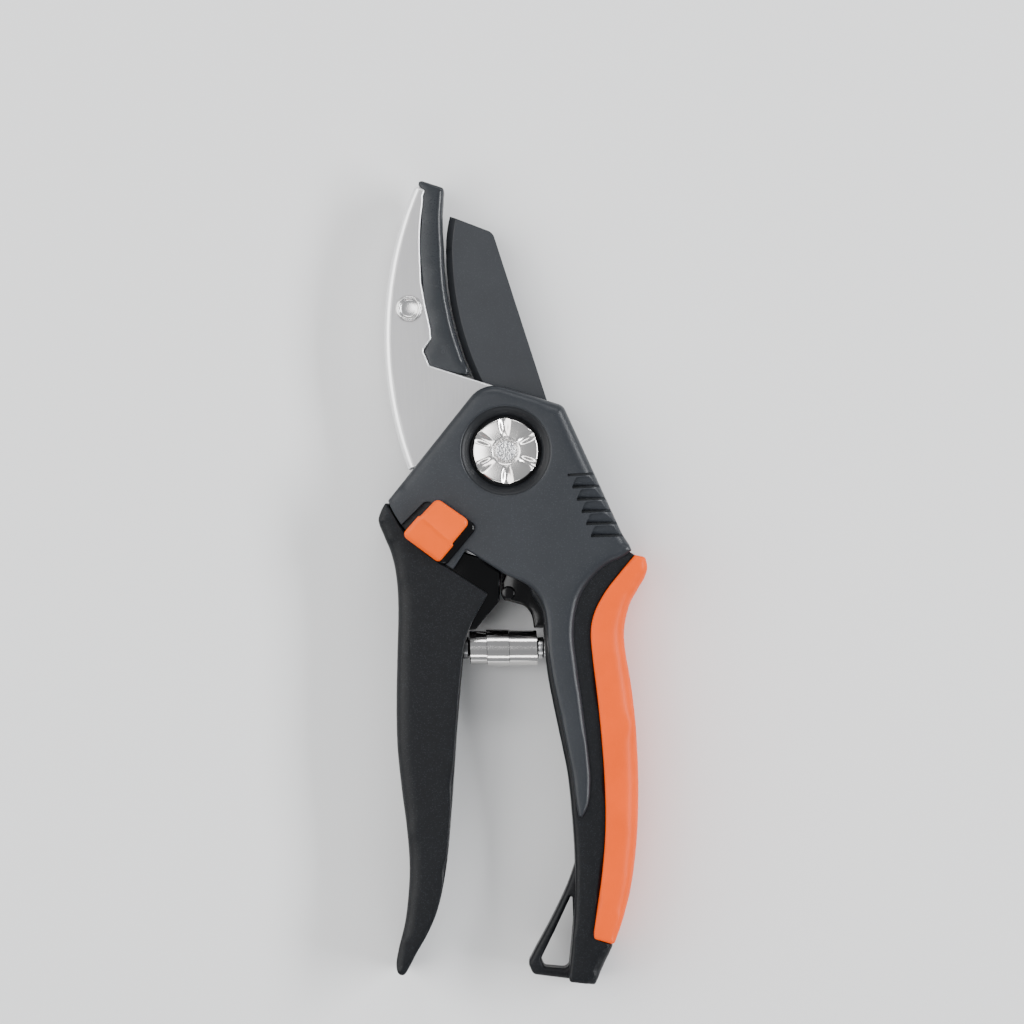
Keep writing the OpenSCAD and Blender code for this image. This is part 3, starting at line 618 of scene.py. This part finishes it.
neckOutline = np.vstack([arcPoints((0, 0), 24.9, 207, 258, 30),
                         [[-1.2, -27.6], [-1.4, -34.2], [-6.8, -40.7], [-13, -42], [-20, -34]],
                         polar(31.5, np.array([218, 209])), [[-27.2, -13.3], [-26.6, -11.85]]])[::-1]

edge = {"x": -13.8, "y": 46.5, "r": 72, "toe": 32}


def edgePoints(gap, low, high, n=40):
    # the cutting edge's two arcs, from the toe to the heel, moved towards the anvil by gap
    toe = math.degrees(math.asin((high - edge["y"]) / edge["toe"]))
    heel = math.degrees(math.asin((edge["y"] - low) / edge["r"]))
    return np.vstack([arcPoints((edge["x"] + edge["toe"], edge["y"]), edge["toe"] + gap, 180 - toe, 180,
                                n // 4)[:-1], arcPoints((edge["x"] + edge["r"], edge["y"]), edge["r"] + gap,
                                            180, 180 + heel, n)])


anvilLeft = smoothCurve([[-17.1, 25.9], [-17.3, 28.5], [-18.4, 33], [-19.2, 38.5], [-19.5, 45.5], [-19.4, 52],
                         [-19.0, 57.5], [-19.2, 59.8], [-20.0, 60.9]])
anvilOutline = np.vstack([
    roundedCorner((-14.0, 24), edgePoints(0.3, 17.4, 59)[-1], (-12, 17.6), 0.5),
    [[-17.3, 19.4]],
    roundedCorner((-17.3, 19.3), (-18.7, 23), (-16.9, 25.6), 0.9),
    anvilLeft,
    roundedCorner((-20.3, 61.0), (-19.6, 62.0), (-14.6, 60.5), 0.8),
    roundedCorner((-18.4, 62), (-14.1, 60.2), (-14.4, 54), 0.9),
    [[-14.45, 54], [-14.4, 50]],
    edgePoints(0.35, 17.4, 46.6)])[::-1]
print("outlines ready")


def spread(marks):
    # a value for every point of an outline, from the marks (x, y, value) near it
    marks = np.array(marks, float)

    def value(loop):
        gap = np.sum((loop[:, None] - marks[None, :, :2]) ** 2, axis=2) + 0.05
        weight = gap ** -3
        return weight @ marks[:, 2] / weight.sum(axis=1)
    return value


def scaled(value, factor):
    return lambda loop: value(loop) * factor


lockSettings = {"angle": 228.9, "r": 23.74, "baseRim": 0.9, "capRim": 1.0, "ridge": 0.3, "slope": 15,
                "step": 0.26, "rise": 0.06}


def fromLock(points):
    # from the lock's own frame, whose x points away from the pivot, to the tool's
    a = math.radians(lockSettings["angle"])
    p = np.asarray(points, float) + (lockSettings["r"], 0)
    return np.stack([p[:, 0] * math.cos(a) - p[:, 1] * math.sin(a),
                     p[:, 0] * math.sin(a) + p[:, 1] * math.cos(a)], axis=-1)


def toLock(points):
    a = math.radians(lockSettings["angle"])
    return np.stack([points[:, 0] * math.cos(a) + points[:, 1] * math.sin(a) - lockSettings["r"],
                     points[:, 1] * math.cos(a) - points[:, 0] * math.sin(a)], axis=-1)


plateSettings = {"ringOuter": 10.15, "ringRim": 0.5, "ringDrop": 0.3, "backHole": 7.0, "backRim": 0.5,
                 "dropShare": 0.8, "crown": 0.25, "crownHalf": 26}
padSettings = {"count": 5, "first": (14.1, -5.5), "next": (1.06, -2.77), "rise": 0.055, "turn": 0.006,
               "length": 14, "height": 1.95, "shallow": 0.5, "deep": 0.95, "corner": 0.9, "grooveWidth": 0.62,
               "grooveDepth": 1.7}
plateMarks = [(*polar(headR, a), 0.22) for a in range(206, 238, 5)]
plateMarks += [
    (-11.9, -26.9, 0.3), (-9.0, -22.4, 0.5), (-5, -25, 0.6), (-0.1, -28.1, 0.8), (5.9, -31.3, 1.2),
    (9.2, -38.5, 1.2), (10.0, -45, 1.1), (11.3, -55, 1.1), (13.8, -66.5, 1.0), (16.1, -80.5, 0.9),
    (19.3, -74, 1.2), (17.8, -60, 1.5), (16.3, -49.5, 1.6), (15.5, -41.5, 1.7), (18.6, -30.3, 1.9),
    (22.4, -26.4, 1.9), (27.6, -23.4, 1.5), (26.5, -18.8, 2.6), (23, -11, 3.0), (19, -2, 3.1),
    (13.1, 10.4, 2.9), (4, 13.3, 2.3), (-5.1, 16, 2.2), (-14, 4.5, 2.1), (-22, -5.5, 2.1), (-26, -10.8, 1.5)]
plateRims = spread(plateMarks)


def plateRelief(p):
    # the plate is a little higher along a line from its top to the tongue
    across = (p[:, 0] - 2 + 0.12 * p[:, 1]) / plateSettings["crownHalf"]
    return -plateSettings["crown"] * np.clip(across, -1, 1) ** 2


def rowLine(i):
    # where groove i starts, inside the plate, and the way it runs, past the plate's edge
    k = padSettings
    start = np.array(k["first"]) + i * np.array(k["next"])
    along = np.array([0.9985, k["rise"] - k["turn"] * i])
    return start, along, np.array([-along[1], along[0]])


def notchCutters(side):
    # Six grooves across the plate's right edge. Over each of the lower five the surface is a pad that slopes
    # down to the groove, with a round inner corner. side is 1 in front and -1 behind.
    k = padSettings
    plate = heights["plate"]
    cutters = []
    for i in range(k["count"] + 1):
        start, along, across = rowLine(i)
        w = k["grooveWidth"] / 2
        far = start + along * k["length"]
        groove = np.array([start - across * w, far - across * w, far + across * w, start + across * w])
        cutters.append(prism(groove, plate - k["grooveDepth"], plate + 1))
        if i == 0:
            continue
        top = k["height"] + w
        corner = start + across * top + along * k["corner"]
        plan = np.vstack([start + across * (w - 0.1), far + across * (w - 0.1), far + across * top,
                          roundedCorner(corner + along, corner, start, k["corner"], 10)])
        points, faces = prism(plan, plate, plate + 1)
        climb = np.clip((plan - start) @ across / top, 0, 1)
        points[:len(plan), 2] = plate - k["deep"] + (k["deep"] - k["shallow"]) * climb
        cutters.append((points, faces))
    for points, _ in cutters:
        points[:, 2] = heights["middle"] + side * points[:, 2]
    return cutters


def circleOutline(r, n=120, centre=(0, 0)):
    return polar(r, np.linspace(0, 360, n, endpoint=False), centre)


def makePlate(side):
    hole = (circleOutline(plateSettings["ringOuter"]), plateSettings["ringRim"], plateSettings["ringDrop"])
    if side < 0:
        hole = (circleOutline(plateSettings["backHole"]), plateSettings["backRim"], plateSettings["backRim"])
    return slabShell(plateOutline, plateRims, scaled(plateRims, plateSettings["dropShare"]), heights["plate"],
                     holes=[hole], spacing=2.0, step=0.35, rounds=8, relief=plateRelief)


fieldRims = spread([
    (6, -33, 1.0), (8.9, -44.5, 1.2), (11, -58.5, 1.3), (14.2, -74, 1.3), (15.7, -90, 1.3), (15.7, -105, 1.2),
    (14.4, -119, 0.8), (17, -121.3, 0.8), (20.3, -121.3, 1.6), (22.4, -117.2, 2.6), (24.2, -113.3, 2.2),
    (22.5, -111.6, 0.35), (20.4, -109.4, 0.3), (22.7, -86.5, 0.3), (21.9, -66, 0.3), (19.4, -41, 0.3),
    (22.6, -32.2, 0.3), (29, -24, 0.3)])


def makeField():
    return slabShell(fieldOutline, fieldRims, scaled(fieldRims, 0.85), heights["field"], spacing=2.0,
                     step=0.35)


def makeLoop():
    return slabShell(loopOuter, 1.0, 1.0, heights["loop"], holes=[(loopHole, 0.7, 0.8)], step=0.25, rounds=5)


screwSettings = {"r": 3.05, "depth": 3.25, "body": [(21.2, -24.4), (14.6, -46.5)], "handle": [(19.3, -90)],
                 "lever": [(-17, -45), (-17.6, -92)]}
pocketSettings = {"corners": [(8, -7.1), (8, -3), (-4.4, -3), (-3.4, -6.3)], "radii": (0.6, 0.6, 0.6, 1.6),
                  "floor": 14.0, "top": 18.0}


def screwPockets(places):
    # round holes for the screw heads, sunk into the back
    return [prism(circleOutline(screwSettings["r"], 48) + p, -1, screwSettings["depth"]) for p in places]


frontPlate, frontField, frontLoop = makePlate(1), makeField(), makeLoop()
bodyFront = addPiece("bodyFrontPlate", *frontPlate, plateMaterial, "body", ("body_front_shell",),
                     "body_plastic")
pocketCorners = fromLock(pocketSettings["corners"])
pocket = roundedOutline([(*q, r) for q, r in zip(pocketCorners, pocketSettings["radii"])])
cutAway(bodyFront, notchCutters(1) + [prism(pocket, pocketSettings["floor"], pocketSettings["top"])])
finishPiece(bodyFront, plateMaterial, None, sharp=28)
addPiece("bodyFrontHandle", *joined(frontField, frontLoop), leverMaterial, "body", (), "body_plastic")
backPlate = mirrored(makePlate(-1))
bodyBack = addPiece("bodyBackPlate", *backPlate, plateMaterial, "body", ("body_back_shell",), "body_plastic")
cutAway(bodyBack, notchCutters(-1) + screwPockets(screwSettings["body"]))
finishPiece(bodyBack, plateMaterial, None, sharp=28)
bodyBackHandle = addPiece("bodyBackHandle", *joined(mirrored(frontField), mirrored(frontLoop)), leverMaterial,
                          "body", (), "body_plastic")
cutAway(bodyBackHandle, screwPockets(screwSettings["handle"]))
finishPiece(bodyBackHandle, leverMaterial, None, sharp=32)


# the dished ring round the nut: flat at its edge, then ever steeper down to an upright wall
ringSettings = {"outer": 10.2, "width": 2.05, "top": 8.22, "dip": 1.75, "power": 1.7, "low": 4.95}
ringRun = np.linspace(0, 1, 14)
ringR = ringSettings["outer"] - ringSettings["width"] * ringRun
ringHeight = ringSettings["top"] - ringSettings["dip"] * ringRun ** ringSettings["power"]
ringProfile = np.vstack([np.column_stack([ringR, ringHeight]),
                         [[8.12, 6.3], [8.1, 5.6], [8.0, 5.3], [7.65, 5.2], [7.65, ringSettings["low"]],
                          [10.5, ringSettings["low"]], [10.5, 8.12]]])
# the ring's plastic is painted darker than the plate: painted shade in the recess round the nut
addPiece("pivotRing", *lathe(ringProfile, n=160), shadedRingMaterial, "body", (), "body_plastic", sharp=40)

lipOutline = np.vstack([[[0.3, -27.2], [-0.8, -30], [-0.8, -33.2]], smoothCurve([[-0.3, -34.1], [1.8, -34.6],
                                            [4.2, -35.4], [5.6, -36.9], [6.2, -38.7], [6.4, -40.4]]),
                        [[10, -40.4], [11.2, -38], [9.6, -30], [4, -26]]])
bossSettings = {"r": 1.6, "at": (0.55, -32.4), "rim": 0.5}
lipHalf = slabShell(lipOutline, 0.7, 0.9, heights["lip"], step=0.3)
bossHalf = slabShell(circleOutline(bossSettings["r"], 60, bossSettings["at"]), bossSettings["rim"],
                     bossSettings["rim"], heights["boss"], step=0.2)
addPiece("fingerGapLip", *joined(lipHalf, mirrored(lipHalf), bossHalf, mirrored(bossHalf)), glossMaterial,
         "body", (), "body_plastic")
print("body shells ready")

gripSettings = {"flat": 1.5, "fall": 0.09, "power": 1.3, "dropShare": 0.8}
gripRims = spread([
    (20.3, -109.4, 0.5), (22, -96, 0.6), (22.7, -86.5, 0.6), (22.6, -76.5, 0.6), (21.9, -66, 0.6),
    (20.9, -56, 0.6), (19.8, -47, 0.6), (19.4, -41, 0.6), (20.3, -36.6, 0.6), (22.6, -32.2, 0.6),
    (25.8, -28, 0.6), (29.4, -23.9, 0.9), (32.2, -25.8, 1.8), (31, -30, 2.4), (28.2, -35.3, 3.0),
    (27.1, -41.5, 3.2), (28.6, -53, 3.3), (30.2, -71, 3.4), (30.2, -81, 3.4), (29.7, -91.5, 3.2),
    (28.2, -101.5, 2.8), (25.9, -109.5, 1.8), (23, -111.9, 0.9)])


def gripRelief(p):
    # the face falls gently towards the outer side
    line = np.array([[20, -111], [20.8, -104], [22.7, -86.5], [21.9, -66], [19.4, -41], [22.6, -32.2],
                     [29.4, -23.7]])
    start = np.interp(p[:, 1], line[:, 1], line[:, 0])
    out = np.clip(p[:, 0] - start - gripSettings["flat"], 0, None)
    return -gripSettings["fall"] * out ** gripSettings["power"]


gripHalf = slabShell(gripOutline, gripRims, scaled(gripRims, gripSettings["dropShare"]), heights["grip"],
                     spacing=1.2, step=0.35, rounds=8, relief=gripRelief, baseRim=0.0)
addPiece("orangeGrip", *joined(gripHalf, mirrored(gripHalf)), gripMaterial, "body", ("grip_inlay",),
         "orange_grip", sharp=60)


leverMarks = [(*polar(seam["r"], a), 0.3) for a in range(208, 238, 5)]
leverMarks += [
    (*(seam["r"] * seamN + 5 * seamT), 0.35), (*seamCorner, 0.45), (-7.6, -39, 0.5), (-9.4, -44.5, 0.55),
    (-11.2, -64, 0.6), (-12.8, -87, 0.6), (-15.2, -103.5, 0.6), (-20.2, -114.2, 0.8), (-23.4, -119.2, 1.2),
    (-24.8, -116, 1.8), (-22.9, -106, 2.6), (-21.9, -96, 3.0), (-23.7, -77, 3.2), (-24.9, -57, 3.3),
    (-24.5, -36, 3.4), (-26, -23.6, 3.0), (-28.2, -18, 2.4), (-28.7, -14.6, 1.9), (-27.4, -11.8, 1.2)]
leverRims = spread(leverMarks)
leverHalf = slabShell(leverOutline, leverRims, scaled(leverRims, 0.66), heights["plate"], spacing=1.5,
                      step=0.35, rounds=9)
neckHalf = slabShell(neckOutline, 0.4, 0.4, heights["neck"], step=0.3, rounds=4)
addPiece("leverFrontShell", *leverHalf, leverMaterial, "lever", ("lever_front_shell",), "lever_plastic")
leverBack = addPiece("leverBackShell", *mirrored(leverHalf), leverMaterial, "lever", ("lever_back_shell",),
                     "lever_plastic")
cutAway(leverBack, screwPockets(screwSettings["lever"]))
finishPiece(leverBack, leverMaterial, None)
addPiece("leverNeck", *joined(neckHalf, mirrored(neckHalf)), glossMaterial, "lever", (), "lever_plastic")
print("lever ready")


anvilRims = spread([
    (-8.7, 17.5, 0.8), (-10.2, 22, 1.5), (-12.2, 28, 1.6), (-14, 36, 1.6), (-14.9, 46, 1.6), (-14.5, 54, 1.6),
    (-14.2, 58.5, 1.5), (-15.5, 61, 0.7), (-19, 61.9, 0.5), (-20.5, 61, 0.3), (-19, 57, 0.2),
    (-19.6, 47, 0.2), (-18.4, 33, 0.2), (-17, 26, 0.2), (-18.7, 23, 0.2), (-17, 19.6, 0.2), (-12, 18, 0.2)])
anvilHalf = slabShell(anvilOutline, anvilRims, anvilRims, heights["anvil"], spacing=2.0, step=0.3,
                      baseRim=0.0)
addPiece("anvilHead", *joined(anvilHalf, mirrored(anvilHalf)), anvilMaterial, "body", ("anvil",),
         "dark_anvil", sharp=60)
jawSettings = {"round": 0.4, "steep": 0.985}
jawFrame = softened("anvil_frame", jawSettings["round"], satinSteel, dissolve=0.5, clamp=False)
# faces steeper than the limit, the spine fold and the cut edges, take the near-white steel: a painted
# highlight
jawFrame.data.materials.append(edgeHighlightSteel)
normals = np.zeros(len(jawFrame.data.polygons) * 3, np.float32)
jawFrame.data.polygons.foreach_get("normal", normals)
steep = (np.abs(normals.reshape(-1, 3)[:, 2]) < jawSettings["steep"]).astype(np.int32)
jawFrame.data.polygons.foreach_set("material_index", steep)
softened("blade", 0.12, bladeMaterial, dissolve=0.5, sharp=20)

# the rivet: a flange that domes up and rolls into a shallow bowl, on both faces of the frame
rivetSettings = {"at": (-22.1, 32.6), "rollR": 2.55, "rollHalf": 0.55, "seat": 4.27, "rise": 0.72,
                 "roll": 140, "bowl": [(1.98, 4.60), (1.8, 4.50), (1.4, 4.41), (0.8, 4.35), (0, 4.33)],
                 "shank": 1.85}
bend = np.radians(np.linspace(0, rivetSettings["roll"], 14))
flange = np.column_stack([rivetSettings["rollR"] + rivetSettings["rollHalf"] * np.cos(bend),
                          rivetSettings["seat"] + rivetSettings["rise"] * np.sin(bend)])
bowl = np.array(rivetSettings["bowl"])
section = np.vstack([flange, bowl, (bowl * (1, -1))[::-1], (flange * (1, -1))[::-1],
                     [[rivetSettings["shank"], -4.2], [rivetSettings["shank"], 4.2]]])
addPiece("anvilRivet", *lathe(section, rivetSettings["at"], 96), rivetMetal, "body", ("anvil_rivet",),
         "rivet_steel", sharp=50)
print("jaws ready")


nutSettings = {"r": 7.5, "bore": 2.62, "low": 4.87, "high": 8.03, "flutes": 6, "first": 93, "halfIn": 0.8,
               "halfOut": 1.75, "fluteDepth": 1.1, "start": 3.25, "collar": 3.35, "crown": 0.22, "edge": 0.45,
               "sunk": 0.22, "chamfer": 0.5}


def makeNut():
    # A disc whose top falls off as the square of the radius, with a chamfer round the bore. Each flute
    # widens outwards, is deepest in its middle and (1 - t^2)^1.9 deep across. The section is carried round.
    k = nutSettings
    flat = k["r"] - k["edge"]
    rho = np.concatenate([[k["bore"], k["bore"] + 0.06], np.linspace(k["bore"] + 0.12, k["collar"] - 0.1, 4),
                          [k["collar"] - 0.04, k["collar"], k["collar"] + 0.05],
                          np.linspace(k["collar"] + 0.15, flat, 40)])
    turn = np.radians(np.linspace(9, 90, 10))
    rimR, rimFall = flat + k["edge"] * np.sin(turn), k["edge"] * 1.3 * (1 - np.cos(turn))

    def crown(r):
        return k["high"] - k["crown"] * np.clip((r - k["collar"]) / (k["r"] - k["collar"]), 0, 1) ** 2

    top = crown(rho) - k["sunk"] - k["chamfer"] * np.clip(k["collar"] - 0.08 - rho, 0, None)
    r = np.concatenate([rho, rimR, [k["r"], k["r"], k["r"] - 0.3, k["bore"]]])
    z = np.concatenate([top, crown(rimR) - k["sunk"] - rimFall, [6.4, k["low"] + 0.3, k["low"], k["low"]]])
    n = 540
    R, A = np.meshgrid(r, np.radians(np.arange(n) * 360 / n), indexing="ij")
    step = 2 * math.pi / k["flutes"]
    turned = (A - math.radians(k["first"]) + step / 2) % step - step / 2
    out = np.clip((R - k["start"]) / (k["r"] - k["start"]), 0, 1)
    half = k["halfIn"] + (k["halfOut"] - k["halfIn"]) * out ** 0.8
    bowl = np.clip(1 - (R * np.sin(turned) / half) ** 2, 0, None) ** 1.9
    depth = k["fluteDepth"] * (1 - (1 - out) ** 2) * (1 - 0.55 * out ** 2)
    Z = np.minimum(z[:, None], np.where(R > k["collar"], crown(R) - k["sunk"], k["high"]) - depth * bowl)
    points = np.stack([R * np.cos(A), R * np.sin(A), Z + heights["middle"]], axis=-1).reshape(-1, 3)
    return points, gridFaces(len(r), n, closeRows=True)


addPiece("rosetteNut", *makeNut(), nickel, "body", ("pivot_nut",), "nut_nickel", sharp=70)
softened("pivot_bolt", 0.15, hammered, dissolve=0.2)


springSettings = {"y": -45.1, "left": -8.35, "right": 7.25, "strip": 0.34, "samples": 72,
                  "radii": [3.0, 3.3, 3.62, 4.1, 3.86, 3.55, 3.2],
                  "starts": [-8.35, -8.3, -8.25, -4.4, 0.1, 0.3, 0.5],
                  "ends": [-2.2, -1.9, -1.4, 0.8, 7.2, 7.22, 7.25]}


def makeSpring():
    # A strip wound in turns about a line along X. Its radius and both of its edges pass smoothly from one
    # turn to the next on the underside, so the turns stand inside each other like a telescope.
    k = springSettings
    turns = len(k["radii"])
    u = np.linspace(0, turns - 0.001, turns * k["samples"] + 1)
    turn = np.minimum(np.floor(u).astype(int), turns - 1)
    after = np.minimum(turn + 1, turns - 1)
    pass_ = np.clip((u - turn - 0.66) / 0.34, 0, 1)
    pass_ = pass_ * pass_ * (3 - 2 * pass_)

    def along(values):
        v = np.array(values)
        return v[turn] * (1 - pass_) + v[after] * pass_

    r, x0, x1 = along(k["radii"]), along(k["starts"]), along(k["ends"])
    slant = 0.18 * np.sin(2 * math.pi * u)
    t, b = k["strip"] / 2, 0.1
    section = np.array([(0, -t + b), (0, t - b), (b, t), (-b, t), (0, t - b), (0, -t + b), (-b, -t), (b, -t)])
    sideways = np.array([0, 0, 0, 1, 1, 1, 1, 0])
    X = np.where(sideways[None] == 0, x0[:, None], x1[:, None]) + section[None, :, 0] + slant[:, None]
    X = np.clip(X, k["left"], k["right"])
    R = r[:, None] + section[None, :, 1]
    angle = (-2 * math.pi * u + math.radians(-120))[:, None]
    Y = k["y"] + R * np.cos(angle)
    Z = heights["middle"] + R * np.sin(angle)
    points = np.stack([X, Y, Z], axis=-1)
    rows, columns = points.shape[:2]
    faces = gridFaces(rows, columns)
    faces += [list(range(columns))[::-1], list(range((rows - 1) * columns, rows * columns))]
    weight = np.clip(((u + 0.5 * pass_) / (turns - 0.5)), 0, 1)
    return points.reshape(-1, 3), faces, np.repeat(weight, columns)


springPoints, springFaces, springWeights = makeSpring()
spring = addPiece("voluteSpring", springPoints, springFaces, springChrome, None, sharp=40, weld=1e-9)
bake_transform(spring)
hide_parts("volute_spring")
softened("spring_seat_right", 0.2, screwSteel, dissolve=0.2)
# the left seat takes the darkened steel, a painted shadow; the right seat is plain screw steel
softened("spring_seat_left", 0.2, shadedSeatSteel, dissolve=0.2)
print("pivot and spring ready")


capOutline = roundedOutline([(6.2, -5.2, 1.3), (5.4, 5.3, 1.0), (0.2, 5.2, 0.25), (0.1, 4.75, 0.25),
                             (-6.4, 4.6, 1.4), (-5.4, -4.6, 1.4), (0.1, -4.8, 0.25), (0.4, -5.15, 0.25)])
slideOutline = roundedOutline([(5.9, -4.7, 1.0), (5.2, 6.9, 1.4), (-6.7, 6.6, 1.4), (-5.3, -4.4, 1.0)])


def capRelief(p):
    # the outer half slopes down from a ridge, one small step below the inner half, which rises to the ridge
    x = toLock(p)[:, 0]
    outer = np.clip(x - lockSettings["ridge"], 0, None)
    step = lockSettings["step"] / (1 + np.exp(-(x - lockSettings["ridge"]) * 9))
    slope = math.tan(math.radians(lockSettings["slope"]))
    return -outer * slope - step - lockSettings["rise"] * np.clip(-x, 0, None)


capShape = slabShell(fromLock(capOutline), lockSettings["capRim"], 0.85, heights["capTop"],
                     bottom=heights["cap"] - 0.02, spacing=0.35, step=0.25, rounds=8, relief=capRelief,
                     baseRim=0.05)
addPiece("lockCap", *capShape, capMaterial, "lock", ("lock_cap",), "orange_cap", sharp=60)
slideShape = slabShell(fromLock(slideOutline), lockSettings["baseRim"], 0.9, heights["cap"],
                       bottom=heights["slide"], spacing=1.5, step=0.25, rounds=6)
addPiece("lockBase", *slideShape, glossMaterial, "lock", ("lock_slide",), "lock_plastic", sharp=60)
print("lock ready")


for node, material, slotName in (
        ("body_screws", screwSteel, "screw_steel"), ("lever_screws", screwSteel, "screw_steel"),
        # the nut washer takes the ring's darkened plastic: painted shade in the gap between the nut and the
        # ring
        ("gate_plate", plainSteel, "washer_steel"), ("nut_washer", shadedRingMaterial, "washer_steel"),
        ("stop_bumper", rubberMaterial, "bumper_rubber"), ("lock_detent_spring", plainSteel, "washer_steel")):
    softened(node, 0.08, material, dissolve=0.2)
plainFinishes = {"friction_washers": bronzeMetal, "pivot_bush": bronzeMetal, "tang_spacers": plainSteel,
                 "gate_rivets": plainSteel, "lock_pin": screwSteel, "lock_retainer": plainSteel}
for node, material in plainFinishes.items():
    mesh = frame["nodes"][node].data
    mesh.materials.clear()
    mesh.materials.append(material)


stageSettings = {"floor": (0.86, 0.86, 0.86), "world": (0.93, 0.96, 1.0), "worldStrength": 0.36, "lens": 120,
                 "sensor": 36, "frameWidth": 0.234, "lookAt": (0.00144, -0.0139, 0.0127)}
floorMesh = bpy.data.meshes.new("floor")
floorMesh.from_pydata([(-3, -3, 0), (3, -3, 0), (3, 3, 0), (-3, 3, 0)], [], [(0, 1, 2, 3)])
floor = newObject("floor", floorMesh)
floorMaterial, _, _ = newMaterial("floorPaper", stageSettings["floor"], 0.9, specular=0.2)
floorMesh.materials.append(floorMaterial)
floor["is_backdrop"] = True

world = bpy.data.worlds.new("studio")
world.use_nodes = True
world.node_tree.nodes["Background"].inputs[0].default_value = (*stageSettings["world"], 1)
world.node_tree.nodes["Background"].inputs[1].default_value = stageSettings["worldStrength"]
bpy.context.scene.world = world


def addLight(name, place, target, size, power, color):
    # a rectangle of light at place that faces target
    light = bpy.data.lights.new(name, "AREA")
    light.shape, light.size, light.size_y = "RECTANGLE", size[0], size[1]
    light.energy, light.color = power, color
    obj = newObject(name, light)
    obj.location = place
    direction = np.array(target) - np.array(place)
    obj.rotation_euler = Vector(direction).to_track_quat("-Z", "Y").to_euler()


lights = {"leftLight": ((-0.80, 0.10, 0.62), (0, -0.03, 0), (1.0, 0.85), 10.5, (1, 0.995, 0.98)),
          "rightLight": ((0.92, 0.05, 0.60), (0, -0.03, 0), (0.9, 0.22), 15.0, (0.97, 0.985, 1)),
          "farLight": ((0.05, 0.95, 0.75), (0, -0.03, 0), (0.9, 0.25), 4.5, (1, 1, 1)),
          "nearLight": ((0.0, -1.0, 0.65), (0, -0.03, 0), (0.9, 0.2), 3.0, (1, 1, 1)),
          "overheadLight": ((-0.42, 0.05, 1.45), (0, 0, 0), (0.5, 0.6), 5.0, (1, 1, 1))}
for name, values in lights.items():
    addLight(name, *values)

camera = bpy.data.cameras.new("camera")
camera.lens = stageSettings["lens"]
camera.sensor_width = stageSettings["sensor"]
camera.clip_start = 0.01
cameraObject = newObject("camera", camera)
distance = stageSettings["frameWidth"] * stageSettings["lens"] / stageSettings["sensor"]
cameraObject.location = Vector(stageSettings["lookAt"]) + Vector((0, 0, distance))
cameraObject.rotation_euler = (0, 0, 0)
bpy.context.scene.camera = cameraObject

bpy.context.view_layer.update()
print("triangles", sum(len(o.data.loop_triangles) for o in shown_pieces() if not o.data.calc_loop_triangles()))
print("scene ready")
